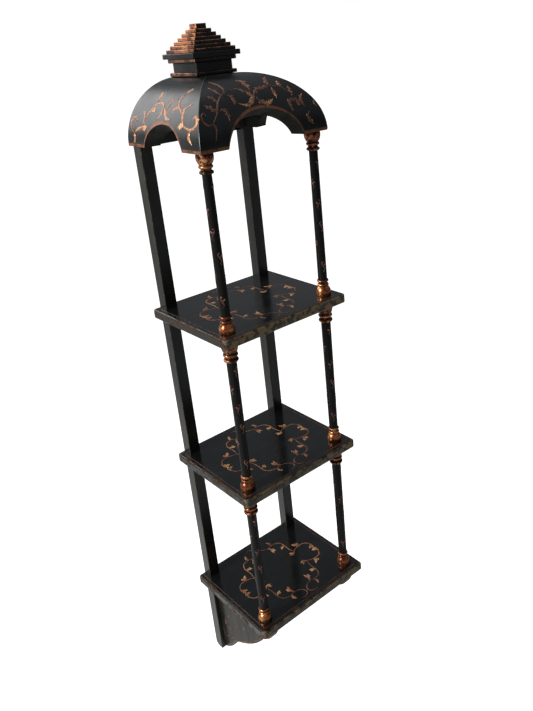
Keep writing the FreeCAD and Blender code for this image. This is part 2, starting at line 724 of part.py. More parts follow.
def hanger_recess():
    """The seat for the left hanger plate, and the pocket behind it that the wall screw's head runs in."""
    low_z = -HANGER_ENTRY_HEIGHT
    half_width = HANGER_WIDTH / 2 + FIT
    seat = box(
        (-POST_CENTRE_X - half_width, -POST_CENTRE_X + half_width),
        (-HANGER_THICKNESS, 0),
        (low_z - FIT, low_z + HANGER_LENGTH + FIT),
    )
    reach = KEYHOLE_ENTRY_DIAMETER / 2 + KEYHOLE_POCKET_ROOM
    pocket = box(
        (-POST_CENTRE_X - reach, -POST_CENTRE_X + reach),
        (-HANGER_THICKNESS, -HANGER_THICKNESS - KEYHOLE_POCKET_DEPTH),
        (-reach, KEYHOLE_SLOT_LENGTH + reach),
    )
    return seat.fuse(pocket)


def hanger_plate():
    """The left keyhole plate, flush with the back of its post."""
    low_z = -HANGER_ENTRY_HEIGHT
    plate = box(
        (-POST_CENTRE_X - HANGER_WIDTH / 2, -POST_CENTRE_X + HANGER_WIDTH / 2),
        (-HANGER_THICKNESS, 0),
        (low_z, low_z + HANGER_LENGTH),
    )
    through = Vector(0, 1, 0)
    slot_radius = KEYHOLE_SLOT_WIDTH / 2
    face_y = -HANGER_THICKNESS
    entry = Part.makeCylinder(
        KEYHOLE_ENTRY_DIAMETER / 2, HANGER_THICKNESS, Vector(-POST_CENTRE_X, face_y, 0), through
    )
    slot_end = Part.makeCylinder(
        slot_radius, HANGER_THICKNESS, Vector(-POST_CENTRE_X, face_y, KEYHOLE_SLOT_LENGTH), through
    )
    slot = box(
        (-POST_CENTRE_X - slot_radius, -POST_CENTRE_X + slot_radius), (face_y, 0), (0, KEYHOLE_SLOT_LENGTH)
    )
    return drilled(plate, [entry, slot_end, slot] + hanger_screws(FIT))


def save_columns():
    """Write the six columns, two in each bay."""
    for (bay, head), floor_z in zip(COLUMN_HEADS.items(), SHELF_TOPS):
        standing = column(head)
        for name, side in SIDES.items():
            place = Vector(side * COLUMN_X, COLUMN_Y, floor_z)
            save("column_%s_%s" % (bay, name), standing.translated(place))


def save_pairs():
    """Write the pieces that come as a left one and its mirror image on the right."""
    pieces = {
        "rear_post": rear_post(),
        "canopy_cleat": canopy_cleat(),
        "canopy_corner_block": corner_block(),
        "bracket": bracket(),
        "bracket_cleat": bracket_cleat(),
        "hanger_plate": hanger_plate(),
    }
    for piece_name, left_piece in pieces.items():
        for name, shape in on_both_sides(left_piece).items():
            save("%s_%s" % (piece_name, name), shape)


def save_fasteners():
    """Write each kind of fastener as one group of separate solids."""
    save("shelf_studs", column_studs(shelf_levels()))
    save("canopy_studs", column_studs(canopy_levels()))
    save("post_studs", post_studs())
    save("column_foot_screws", foot_screws())
    save("shelf_screws", shelf_screws())
    save("bracket_screws", bracket_screws())
    save("bracket_cleat_screws", bracket_cleat_screws())
    save("canopy_screws", canopy_screws())
    save("hanger_screws", hanger_screws())


def main():
    """Build every piece and write it to its own file."""
    os.makedirs("parts", exist_ok=True)
    for level, name in enumerate(SHELF_NAMES):
        save("shelf_" + name, shelf(level))
    for name, panel in canopy_panels().items():
        save("canopy_panel_" + name, panel)
    save("canopy_top_board", canopy_top_board())
    save("canopy_back_panel", canopy_back_panel())
    plates, rod_top_z = finial_plates()
    for name, plate in plates.items():
        save(name, plate)
    for name, piece in finial_rod_set(rod_top_z).items():
        save(name, piece)
    save_columns()
    save_pairs()
    save_fasteners()


main()
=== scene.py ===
"""Looks of a wall display shelf: lacquered boards, turned columns, a coved canopy and painted vines.

Metres, in the frame of the CAD model: +X right, +Y into the wall, +Z up, with the wall at Y = 0.
"""
import json
import logging
import math
from collections.abc import Callable
from dataclasses import dataclass, replace
from enum import Enum
from typing import Any

import bmesh
import bpy
import numpy as np
from mathutils import Matrix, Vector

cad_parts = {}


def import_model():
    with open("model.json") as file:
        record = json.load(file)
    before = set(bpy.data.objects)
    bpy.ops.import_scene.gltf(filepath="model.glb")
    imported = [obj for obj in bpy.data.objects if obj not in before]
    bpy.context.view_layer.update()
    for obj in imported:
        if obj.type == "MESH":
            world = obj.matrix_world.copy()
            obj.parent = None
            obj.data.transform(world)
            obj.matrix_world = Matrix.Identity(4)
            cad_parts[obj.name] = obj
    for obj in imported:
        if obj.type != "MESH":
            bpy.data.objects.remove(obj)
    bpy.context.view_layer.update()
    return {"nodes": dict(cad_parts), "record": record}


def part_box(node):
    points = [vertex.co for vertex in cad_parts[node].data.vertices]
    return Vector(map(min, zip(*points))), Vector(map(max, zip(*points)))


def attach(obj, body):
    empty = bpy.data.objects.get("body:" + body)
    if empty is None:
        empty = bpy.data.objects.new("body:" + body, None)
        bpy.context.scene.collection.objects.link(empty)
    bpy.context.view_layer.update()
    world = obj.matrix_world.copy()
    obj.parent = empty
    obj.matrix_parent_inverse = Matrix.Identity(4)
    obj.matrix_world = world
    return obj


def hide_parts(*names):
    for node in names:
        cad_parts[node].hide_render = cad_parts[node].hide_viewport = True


LOG = logging.getLogger("wall_shelf")
MM = 0.001
Array = np.ndarray
Colour = tuple[float, float, float]
Socket = bpy.types.NodeSocket
Value = float | Socket
Surface = Callable[[Array], tuple[Array, Array]]
Share = Callable[["Graph", Socket], Value]
Nodes = dict[str, bpy.types.Object]
Panel = tuple[Array, list[list[int]], Array, Array]


class Side(Enum):
    """Left and right of the piece, with the sign of X."""

    LEFT = -1
    RIGHT = 1

    @property
    def word(self) -> str:
        """Returns: the side as it stands in node names."""
        return self.name.lower()


class Taper(Enum):
    """How the width of a painted stroke runs from its start to its end."""

    STEM = "even, drawn out at both ends"
    LEAF = "widest near the middle, pointed at both ends"
    BUD = "narrow at the start, round at the end"
    LINE = "even from end to end"


def tube_faces(rings: int, around: int, first: int = 0) -> list[list[int]]:
    """Faces of a tube: quads between neighbouring rings, and a cap on the first and the last ring.

    Args:
        rings: number of rings, their points numbered one ring after another.
        around: number of points in a ring.
        first: number of the first point.

    Returns:
        Point numbers of each face.
    """
    numbers = first + np.arange(rings * around).reshape(rings, around)
    beside = np.roll(numbers, -1, axis=1)
    quads = np.stack([numbers[:-1], beside[:-1], beside[1:], numbers[1:]], axis=-1).reshape(-1, 4)
    return quads.tolist() + [numbers[0, ::-1].tolist(), numbers[-1].tolist()]


def unit(vectors: Array) -> Array:
    """Returns: the vectors, one per row, brought to length 1."""
    return vectors / np.linalg.norm(vectors, axis=-1, keepdims=True)


def node_box(node: str) -> tuple[Array, Array]:
    """Returns: the lowest and the highest corner of a CAD node."""
    low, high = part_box(node)
    return np.array(low), np.array(high)


def put_mesh(
    name: str, points: Array, faces: list[list[int]], attributes: dict[str, Array] | None = None,
    sharp: float = 38.0, finishes: Array | None = None,
) -> bpy.types.Object:
    """Put a closed surface into the scene, with its faces turned outwards.

    Args:
        name: name of the object.
        points: one row of three coordinates per point.
        faces: point numbers of each face.
        attributes: one value per point under each name.
        sharp: edges that turn by more degrees than this stay sharp.
        finishes: number of the finish of each face, where there are several.

    Returns:
        The new object, at the origin.
    """
    mesh = bpy.data.meshes.new(name)
    mesh.from_pydata(points.reshape(-1, 3).tolist(), [], faces)
    for label, values in (attributes or {}).items():
        layer = mesh.attributes.new(label, "FLOAT", "POINT")
        layer.data.foreach_set("value", np.ascontiguousarray(values, dtype=np.float32).ravel())
    work = bmesh.new()
    work.from_mesh(mesh)
    bmesh.ops.recalc_face_normals(work, faces=work.faces)
    work.to_mesh(mesh)
    work.free()
    mesh.polygons.foreach_set("use_smooth", np.ones(len(mesh.polygons), dtype=bool))
    mesh.set_sharp_from_angle(angle=math.radians(sharp))
    if finishes is not None:
        mesh.polygons.foreach_set("material_index", np.ascontiguousarray(finishes, dtype=np.int32))
    piece = bpy.data.objects.new(name, mesh)
    bpy.context.scene.collection.objects.link(piece)
    return piece


def settle(piece: bpy.types.Object, material: bpy.types.Material, slot: str, *nodes: str) -> None:
    """Give a new piece its finish and its place in the frame.

    Args:
        piece: the new piece.
        material: its finish.
        slot: the record's slot of that finish.
        nodes: CAD nodes that it stands for.
    """
    piece.data.materials.append(material)
    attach(piece, "root")
    if nodes:
        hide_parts(*nodes)
    LOG.info("%s: %d faces, %s", piece.name, len(piece.data.polygons), slot)


def refinish(piece: bpy.types.Object, material: bpy.types.Material) -> None:
    """Give a CAD node that is shown as it is a finish of its own.

    Args:
        piece: the CAD node.
        material: its finish.
    """
    piece.data.materials.clear()
    piece.data.materials.append(material)
    LOG.info("%s: finished in %s", piece.name, material.name)


def smooth_path(knots: Array, samples: int) -> Array:
    """A smooth line through a few points: a cubic between each two, with slopes taken from the neighbours.

    Args:
        knots: points along the line, one per row.
        samples: number of points wanted.

    Returns:
        Points evenly spread over the knots.
    """
    padded = np.vstack([2 * knots[0] - knots[1], knots, 2 * knots[-1] - knots[-2]])
    place = np.linspace(0, len(knots) - 1, samples)
    first = np.minimum(place.astype(int), len(knots) - 2)
    t = (place - first)[:, None]
    before, start, end, after = (padded[first + step] for step in range(4))
    return 0.5 * (
        2 * start
        + (end - before) * t
        + (2 * before - 5 * start + 4 * end - after) * t**2
        + (3 * start - before - 3 * end + after) * t**3
    )


def arc_through(start: Array, middle: Array, end: Array, samples: int) -> Array:
    """Points on the circle through three points of a plane, from the first to the last.

    Args:
        start: first point.
        middle: a point on the way.
        end: last point.
        samples: number of points.

    Returns:
        Points along the arc.
    """
    start, middle, end = (np.asarray(point, dtype=float) for point in (start, middle, end))
    sides = 2 * np.array([middle - start, end - start])
    squares = np.array([middle @ middle - start @ start, end @ end - start @ start])
    centre = np.linalg.solve(sides, squares)
    angles = np.unwrap([math.atan2(*(point - centre)[::-1]) for point in (start, middle, end)])
    radius = np.linalg.norm(start - centre)
    turn = np.linspace(angles[0], angles[2], samples)
    return centre + radius * np.stack([np.cos(turn), np.sin(turn)], axis=-1)


@dataclass(frozen=True)
class Stroke:
    """One brush stroke of the painted vine, laid out flat in millimetres."""

    knots: tuple[tuple[float, float], ...]
    width: float
    taper: Taper = Taper.STEM

    def sample(self, count: int) -> tuple[Array, Array]:
        """Points of the middle line and the half width there.

        A stem grows evenly from a quarter of its width at both ends. A leaf's width is a sine to the power
        0.8, fullest a little past the middle. A bud grows evenly and closes round. A line is even.

        Args:
            count: number of points.

        Returns:
            The points, two coordinates each in metres, and the half widths in metres.
        """
        line = smooth_path(np.array(self.knots, dtype=float), count) * MM
        t = np.linspace(0, 1, count)
        shapes = {
            Taper.STEM: np.minimum(1, 0.25 + 2.4 * np.minimum(t, 1 - t)),
            Taper.LEAF: np.sin(np.pi * np.clip(t, 0.02, 0.98) ** 1.3) ** 0.8,
            Taper.BUD: (0.2 + 0.8 * t) * np.sqrt(np.clip(1 - t**6, 0.01, 1)),
            Taper.LINE: np.ones(count),
        }
        return line, 0.5 * self.width * MM * shapes[self.taper]


def stem(width: float, *knots: tuple[float, float]) -> Stroke:
    """Returns: a stem of a width through some points, in millimetres."""
    return Stroke(knots, width)


def leaf(width: float, *knots: tuple[float, float]) -> Stroke:
    """Returns: a leaf of a width through some points, in millimetres."""
    return Stroke(knots, width, Taper.LEAF)


def frilled(strokes: list[Stroke], reach: float = 0.85) -> list[Stroke]:
    """Add leaflets to the leaves: four along each, on either hand in turn, pointing aside and forwards.

    Args:
        strokes: the strokes.
        reach: length of a leaflet as a share of its leaf's width.

    Returns:
        The strokes with the leaflets after them.
    """
    samples, places = 21, ((-1, 5), (1, 8), (-1, 12), (1, 15))
    leaflets = []
    for stroke in strokes:
        if stroke.taper is Taper.LEAF:
            line = stroke.sample(samples)[0] / MM
            heading = unit(np.gradient(line, axis=0))
            for hand, index in places:
                aside = hand * np.array([-heading[index, 1], heading[index, 0]])
                tip = line[index] + reach * stroke.width * (0.8 * aside + 0.6 * heading[index])
                leaflets.append(leaf(0.55 * stroke.width, tuple(line[index]), tuple(tip)))
    return strokes + leaflets


@dataclass
class Brushwork:
    """Raised paint: a low dome, flat beneath, carried along each stroke on a surface.

    The dome stands height times 1 - a squared above the surface, where a runs from -1 at one rim of the
    stroke to 1 at the other; its underside lies just inside the surface. Both rims waver by a random share
    of the stroke's width.
    """

    name: str
    samples: int = 26
    ragged: float = 0.3
    height: float = 0.5 * MM
    sink: float = 0.25 * MM
    clear: float = 0.02 * MM
    dome: tuple[float, ...] = (-1.0, -0.55, 0.0, 0.55, 1.0)
    underside: tuple[float, ...] = (0.5, -0.5)
    tone_spread: float = 0.45
    leaf_rise: float = 0.55

    def lay(self, strokes: list[Stroke], surface: Surface, seed: int) -> bpy.types.Object:
        """Build all strokes as one mesh.

        Args:
            strokes: the strokes, in the surface's flat coordinates.
            surface: a call from flat points to points and outward directions in space.
            seed: start of the tones, one per stroke, and of the wavering rims.

        Returns:
            The mesh, with the tone as an attribute; a leaf grows brighter towards its tip.
        """
        chance = np.random.default_rng(seed)
        tones = chance.uniform(0, self.tone_spread, len(strokes))
        across = np.array(self.dome + self.underside)
        ring = len(across)
        rise = np.repeat(np.linspace(0.0, 1.0, self.samples), ring)
        raised = self.height * (1 - across**2) + self.clear
        lift = np.where(np.arange(ring) < len(self.dome), raised, -self.sink)
        faces: list[list[int]] = []
        points = []
        tone = []
        for number, stroke in enumerate(strokes):
            line, half = stroke.sample(self.samples)
            heading = unit(np.gradient(line, axis=0))
            beside = np.stack([-heading[:, 1], heading[:, 0]], axis=-1)
            waver = 1 + self.ragged * chance.uniform(-1, 1, (self.samples, 2))
            aside = half[:, None] * across * waver[:, (across > 0).astype(int)]
            flat = line[:, None, :] + beside[:, None, :] * aside[..., None]
            spot, outward = surface(flat.reshape(-1, 2))
            points.append(spot + outward * np.tile(lift, self.samples)[:, None])
            tone.append(tones[number] + self.leaf_rise * rise * (stroke.taper is Taper.LEAF))
            faces += tube_faces(self.samples, ring, number * self.samples * ring)
        return put_mesh(self.name, np.vstack(points), faces, {"tone": np.concatenate(tone)}, sharp=70)


class Graph:
    """A node tree with short calls that add a node, wire it and return its output."""

    def __init__(self, tree: bpy.types.NodeTree) -> None:
        """Args: tree: the tree to fill."""
        self.tree = tree

    def node(self, kind: str, inputs: dict[str | int, Any] | None = None, **settings: Any) -> bpy.types.Node:
        """Add a node.

        Args:
            kind: the node's type name.
            inputs: sockets or plain values by input name or number.
            settings: properties of the node.

        Returns:
            The node.
        """
        made = self.tree.nodes.new(kind)
        for key, value in settings.items():
            setattr(made, key, value)
        for key, value in (inputs or {}).items():
            self.feed(made.inputs[key], value)
        return made

    def feed(self, target: Socket, value: Any) -> None:
        """Wire a socket to an input, or set a plain value there.

        Args:
            target: the input.
            value: a socket or a plain value.
        """
        if isinstance(value, bpy.types.NodeSocket):
            self.tree.links.new(value, target)
        else:
            target.default_value = value

    def math(self, operation: str, first: Value, second: Value = 0.0, clamp: bool = False) -> Socket:
        """Returns: the result of a sum, product or other operation on two values."""
        inputs = {0: first, 1: second}
        return self.node("ShaderNodeMath", inputs, operation=operation, use_clamp=clamp).outputs[0]

    def vector(self, operation: str, first: Any, second: Any = (0.0, 0.0, 0.0)) -> Socket:
        """Returns: the result of an operation on two vectors."""
        made = self.node("ShaderNodeVectorMath", {0: first, 1: second}, operation=operation)
        return made.outputs["Value" if operation == "DOT_PRODUCT" else "Vector"]

    def parts(self, vector: Socket) -> list[Socket]:
        """Returns: X, Y and Z of a vector."""
        return list(self.node("ShaderNodeSeparateXYZ", {0: vector}).outputs)

    def span(
        self, value: Value, low: Value, high: Value, to_low: Value = 0.0, to_high: Value = 1.0
    ) -> Socket:
        """Returns: a value carried smoothly from one range to another and held at its ends."""
        inputs = {"Value": value, "From Min": low, "From Max": high, "To Min": to_low, "To Max": to_high}
        return self.node("ShaderNodeMapRange", inputs, interpolation_type="SMOOTHSTEP").outputs[0]

    def mix(self, share: Value, first: Socket | Colour, second: Socket | Colour) -> Socket:
        """Mix two colours.

        Args:
            share: share of the second colour.
            first: first colour, as a socket or plain.
            second: second colour, as a socket or plain.

        Returns:
            The mixed colour.
        """
        made = self.node("ShaderNodeMix", data_type="RGBA")
        self.feed(made.inputs[0], share)
        for target, value in ((made.inputs[6], first), (made.inputs[7], second)):
            self.feed(target, (*value, 1.0) if isinstance(value, tuple) and len(value) == 3 else value)
        return made.outputs[2]

    def noise(self, vector: Socket, scale: float, detail: float = 4.0, rough: float = 0.55) -> Socket:
        """Returns: a cloudy value of about 0.5 on average."""
        inputs = {"Vector": vector, "Scale": scale, "Detail": detail, "Roughness": rough}
        return self.node("ShaderNodeTexNoise", inputs).outputs[0]

    def place(self) -> Socket:
        """Returns: the point in the frame."""
        return self.node("ShaderNodeTexCoord").outputs["Object"]

    def attribute(self, name: str) -> Socket:
        """Returns: the value stored on the mesh under a name."""
        return self.node("ShaderNodeAttribute", attribute_name=name).outputs["Fac"]

    def facing(self, axis: int) -> Socket:
        """Returns: 1 on faces square to an axis of the frame and 0 on faces along it."""
        parts = self.parts(self.node("ShaderNodeNewGeometry").outputs["Normal"])
        return self.span(self.math("ABSOLUTE", parts[axis]), 0.3, 0.8)

    def bump(self, height: Socket, strength: float, depth: float) -> Socket:
        """Returns: the direction of a surface roughened by a height, in a depth in metres."""
        inputs = {"Strength": strength, "Distance": depth, "Height": height}
        return self.node("ShaderNodeBump", inputs).outputs[0]

    def group(self, tree: bpy.types.NodeTree, **inputs: Any) -> dict[str, Socket]:
        """Returns: the outputs, by name, of a shared group given its inputs."""
        made = self.node("ShaderNodeGroup", inputs, node_tree=tree)
        return {socket.name: socket for socket in made.outputs}


def new_material(name: str) -> tuple[bpy.types.Material, Graph, bpy.types.Node]:
    """Start a material.

    Args:
        name: the material's name.

    Returns:
        The material, its graph and its shader.
    """
    made = bpy.data.materials.new(name)
    made.use_nodes = True
    return made, Graph(made.node_tree), made.node_tree.nodes["Principled BSDF"]


def new_group(
    name: str, inputs: dict[str, str], outputs: tuple[str, ...]
) -> tuple[Graph, dict[str, Socket], dict[str, Socket]]:
    """Start a shader node group with its interface.

    Args:
        name: the group's name.
        inputs: socket type by input name.
        outputs: names of the value outputs.

    Returns:
        The graph, the inputs inside the group and the outputs to feed.
    """
    tree = bpy.data.node_groups.new(name, "ShaderNodeTree")
    for label, kind in inputs.items():
        tree.interface.new_socket(label, in_out="INPUT", socket_type=kind)
    for label in outputs:
        tree.interface.new_socket(label, in_out="OUTPUT", socket_type="NodeSocketFloat")
    graph = Graph(tree)
    source = graph.node("NodeGroupInput").outputs
    target = graph.node("NodeGroupOutput").inputs
    return graph, {label: source[label] for label in inputs}, {label: target[label] for label in outputs}


class Effects:
    """The node groups that the finishes share."""

    def __init__(self) -> None:
        """Build each group once."""
        self.box_edge = self._box_edge()
        self.surface = self._surface()

    @staticmethod
    def _box_edge() -> bpy.types.NodeTree:
        """Nearness to the edges of a box: 1 at the two faces of each axis, and an edge where two meet.

        Returns:
            The group.
        """
        vector = "NodeSocketVector"
        inputs = {"Point": vector, "Centre": vector, "Half": vector, "Reach": "NodeSocketFloat"}
        graph, source, target = new_group("BoxEdge", inputs, ("Edge",))
        away = graph.vector("ABSOLUTE", graph.vector("SUBTRACT", source["Point"], source["Centre"]))
        depth = graph.parts(graph.vector("SUBTRACT", source["Half"], away))
        near = [graph.span(axis, 0.0, source["Reach"], 1.0, 0.0) for axis in depth]
        total = graph.math("ADD", graph.math("ADD", near[0], near[1]), near[2])
        graph.feed(target["Edge"], graph.math("SUBTRACT", total, 1.0, clamp=True))
        return graph.tree

    @staticmethod
    def _surface() -> bpy.types.NodeTree:
        """Cloud, streaks along the grain and scratches of an old brushed surface, all from 0 to 1.

        Returns:
            The group.
        """
        vector = "NodeSocketVector"
        inputs = {"Point": vector, "Grain": vector}
        graph, source, target = new_group("OldSurface", inputs, ("Cloud", "Streak", "Scratch"))
        cloud = graph.noise(source["Point"], 22.0, 5.0, 0.6)
        graph.feed(target["Cloud"], graph.span(cloud, 0.3, 0.7))
        along = graph.vector("MULTIPLY", source["Point"], source["Grain"])
        graph.feed(target["Streak"], graph.span(graph.noise(along, 60.0, 5.0, 0.65), 0.3, 0.7))
        fine = graph.noise(source["Point"], 420.0, 3.0, 0.7)
        graph.feed(target["Scratch"], graph.span(fine, 0.58, 0.8))
        return graph.tree


@dataclass(frozen=True)
class Lacquer:
    """Old black lacquer: a smoky colour, worn through to brown wood along edges and borders.

    Near the edges it is worn where the nearness lies past the line and the blotches are in the patch. There
    it can also be dulled by a brown haze; on faces towards the front the haze can take a lighter colour of
    its own, which paints in the light falling on the front.
    """

    name: str
    dark: Colour = (0.005, 0.0053, 0.0053)
    smoke: Colour = (0.011, 0.0115, 0.011)
    worn: Colour = (0.11, 0.052, 0.028)
    roughness: float = 0.3
    grain: Colour = (1.0, 1.0, 0.12)
    wear: float = 1.0
    patch: tuple[float, float] = (0.42, 0.66)
    line: tuple[float, float] = (0.0, 1.0)
    haze: Colour = (0.05, 0.036, 0.022)
    lit_front_haze: Colour = (0.05, 0.036, 0.022)
    dull: float = 0.0
    gloss: float = 0.5
    metal: float = 0.0
    blotches: float = 75.0
    streaks: tuple[float, float, float, float] = (0.1, 0.9, 0.3, 1.0)
    mottle: tuple[float, float, float, float] = (0.42, 0.6, 0.12, 1.2)
    scratched: float = 0.16
    worn_roughness: float = 0.2
    dull_roughness: float = 0.6
    relief: float = 0.12
    relief_depth: float = 0.6 * MM

    def material(self, effects: Effects, edge_of: Share) -> bpy.types.Material:
        """Make the material.

        Args:
            effects: the shared groups.
            edge_of: a call that takes the graph and the point and returns the nearness of an edge, 0 to 1.

        Returns:
            The material.
        """
        made, graph, shader = new_material(self.name)
        point = graph.place()
        old = graph.group(effects.surface, Point=point, Grain=self.grain)
        cloud, streak, scratch = old["Cloud"], old["Streak"], old["Scratch"]
        body = graph.mix(graph.math("MULTIPLY", cloud, streak), self.dark, self.smoke)
        blotch = graph.noise(point, self.blotches, 5.0, 0.65)
        patch = graph.span(blotch, *self.patch)
        near = edge_of(graph, point)
        streaky = graph.span(streak, *self.streaks)
        mottle = graph.math("MULTIPLY", streaky, graph.span(blotch, *self.mottle))
        dull = graph.math("MULTIPLY", graph.math("MULTIPLY", near, self.dull), mottle)
        # On faces towards the front the haze takes its lit front colour: painted light.
        body = graph.mix(dull, body, graph.mix(graph.facing(1), self.haze, self.lit_front_haze))
        rub = graph.math("MULTIPLY", graph.span(near, *self.line), patch)
        rub = graph.math("MULTIPLY", rub, self.wear, clamp=True)
        rub = graph.math("MAXIMUM", rub, graph.math("MULTIPLY", scratch, self.scratched))
        graph.feed(shader.inputs["Base Color"], graph.mix(rub, body, self.worn))
        shader.inputs["Specular IOR Level"].default_value = self.gloss
        if self.metal:
            graph.feed(shader.inputs["Metallic"], graph.math("MULTIPLY", rub, self.metal))
        rough = graph.span(cloud, 0.0, 1.0, self.roughness - 0.03, self.roughness + 0.05)
        rough = graph.math("ADD", rough, graph.math("MULTIPLY", rub, self.worn_roughness))
        if self.dull:
            dulled = graph.math("MULTIPLY", dull, self.dull_roughness)
            rough = graph.math("ADD", rough, dulled, clamp=True)
        graph.feed(shader.inputs["Roughness"], rough)
        fine = graph.math("MULTIPLY", scratch, 0.4)
        height = graph.math("ADD", graph.math("MULTIPLY", streak, 0.6), fine)
        graph.feed(shader.inputs["Normal"], graph.bump(height, self.relief, self.relief_depth))
        return made


@dataclass(frozen=True)
class CopperPaint:
    """Copper paint rubbed over black: bright where it is rubbed, dark where the brush skipped.

    The brush skips where the patches fall below the skip, sooner where the paint is thin.
    """

    name: str
    bright: Colour = (0.52, 0.23, 0.115)
    deep: Colour = (0.19, 0.075, 0.038)
    gold: Colour = (0.66, 0.36, 0.14)
    black: Colour = (0.007, 0.0065, 0.006)
    metal: float = 0.55
    roughness: float = 0.36
    skip: float = 0.35
    fleck: float = 0.65
    gloss: float = 0.5
    varnish: float = 0.0
    varnish_roughness: float = 0.22
    patches: float = 160.0
    clouds: float = 55.0
    specks: float = 330.0
    thin: float = 0.22
    relief: float = 0.25
    relief_depth: float = 0.6 * MM

    def material(self, cover_of: Share, tone_of: Share | None = None) -> bpy.types.Material:
        """Make the material.

        Args:
            cover_of: a call that takes the graph and the point and returns the paint there; 1 is a full coat.
            tone_of: a call that returns how bright the paint is, 0 to 1; cloudy if left out.

        Returns:
            The material.
        """
        made, graph, shader = new_material(self.name)
        point = graph.place()
        patch = graph.noise(point, self.patches, 5.0, 0.7)
        if tone_of:
            speck = graph.span(graph.noise(point, self.specks, 3.0, 0.7), 0.3, 0.7, -0.2, 0.3)
            tone = graph.math("ADD", tone_of(graph, point), speck, clamp=True)
        else:
            tone = graph.span(graph.noise(point, self.clouds), 0.35, 0.65)
        tint = graph.mix(graph.span(tone, 0.0, 0.65), self.deep, self.bright)
        tint = graph.mix(graph.span(tone, self.fleck, 1.0), tint, self.gold)
        shader.inputs["Specular IOR Level"].default_value = self.gloss
        shader.inputs["Coat Roughness"].default_value = self.varnish_roughness
        share = cover_of(graph, point)
        lack = graph.math("MULTIPLY", graph.math("SUBTRACT", share, 1.0), self.thin)
        kept = graph.span(graph.math("ADD", patch, lack), self.skip - 0.12, self.skip + 0.1)
        cover = graph.math("MULTIPLY", graph.math("MULTIPLY", share, 4.0, clamp=True), kept)
        if self.varnish:
            graph.feed(shader.inputs["Coat Weight"], graph.math("MULTIPLY", cover, self.varnish))
        graph.feed(shader.inputs["Base Color"], graph.mix(cover, self.black, tint))
        graph.feed(shader.inputs["Metallic"], graph.math("MULTIPLY", cover, self.metal))
        rough = graph.span(patch, 0.2, 0.8, self.roughness - 0.1, self.roughness + 0.14)
        graph.feed(shader.inputs["Roughness"], rough)
        graph.feed(shader.inputs["Normal"], graph.bump(patch, self.relief, self.relief_depth))
        return made


@dataclass(frozen=True)
class PlainFinish:
    """A plain finish for what hardly shows: steel fasteners, bare inner wood and the canopy's inside."""

    name: str
    first: Colour
    second: Colour
    metal: float
    roughness: float
    gloss: float = 0.5
    grain: Colour = (1.0, 1.0, 1.0)
    relief: float = 0.2
    relief_depth: float = 0.4 * MM

    def material(self, effects: Effects) -> bpy.types.Material:
        """Make the material.

        Args:
            effects: the shared groups.

        Returns:
            The material.
        """
        made, graph, shader = new_material(self.name)
        old = graph.group(effects.surface, Point=graph.place(), Grain=self.grain)
        streak = old["Streak"]
        graph.feed(shader.inputs["Base Color"], graph.mix(streak, self.first, self.second))
        shader.inputs["Metallic"].default_value = self.metal
        shader.inputs["Specular IOR Level"].default_value = self.gloss
        rough = graph.span(old["Cloud"], 0.0, 1.0, self.roughness - 0.08, self.roughness + 0.12)
        graph.feed(shader.inputs["Roughness"], rough)
        graph.feed(shader.inputs["Normal"], graph.bump(streak, self.relief, self.relief_depth))
        return made


def box_edges(effects: Effects, node: str, reach: float, sides: float = 0.0) -> Share:
    """Edges of a CAD node's box, for a finish.

    Args:
        effects: the shared groups.
        node: the CAD node.
        reach: how far the edge reaches into the faces, in metres.
        sides: least nearness on the upright faces.

    Returns:
        A call that takes a graph and a point and returns the nearness to an edge.
    """
    low, high = node_box(node)
    box = {"Centre": tuple((low + high) / 2), "Half": tuple((high - low) / 2), "Reach": reach}

    def edge(graph: Graph, point: Socket) -> Socket:
        """Nearness to an edge of the box.

        Args:
            graph: the graph of the finish.
            point: the point in the frame.

        Returns:
            The nearness, 0 to 1.
        """
        near = graph.group(effects.box_edge, Point=point, **box)["Edge"]
        if not sides:
            return near
        upright = graph.math("SUBTRACT", 1.0, graph.facing(2))
        return graph.math("MAXIMUM", near, graph.math("MULTIPLY", upright, sides))

    return edge


def stored(name: str) -> Share:
    """A value stored on the mesh, for a finish.

    Args:
        name: the attribute.

    Returns:
        A call that takes a graph and a point and returns the stored value.
    """
    return lambda graph, point: graph.attribute(name)


def everywhere(share: float) -> Share:
    """The same share all over a surface, for a finish.

    Args:
        share: the share.

    Returns:
        A call that takes a graph and a point and returns the share.
    """
    return lambda graph, point: share


def near_border(width: float) -> Share:
    """The painted border and worn lower edge of a canopy panel or bracket, for a finish.

    Args:
        width: width of the border in metres.

    Returns:
        A call that takes a graph and a point and returns the border's share.
    """
    return lambda graph, point: graph.span(graph.attribute("rim"), 0.75 * width, width, 1.0, 0.0)


# The front vine and the column sprigs: a darker copy of the copper paint of the sides, painted shade.
VINE_COPPER = CopperPaint(
    "vine_copper", bright=(0.23, 0.09, 0.055), deep=(0.09, 0.038, 0.031), gold=(0.66, 0.34, 0.14),
    metal=0.3, skip=0.4, fleck=0.76,
)
WREATH_COPPER = CopperPaint(
    "wreath_copper", bright=(0.36, 0.145, 0.07), deep=(0.13, 0.055, 0.036), gold=(0.68, 0.4, 0.18),
    metal=0.3, skip=0.36, fleck=0.5,
)
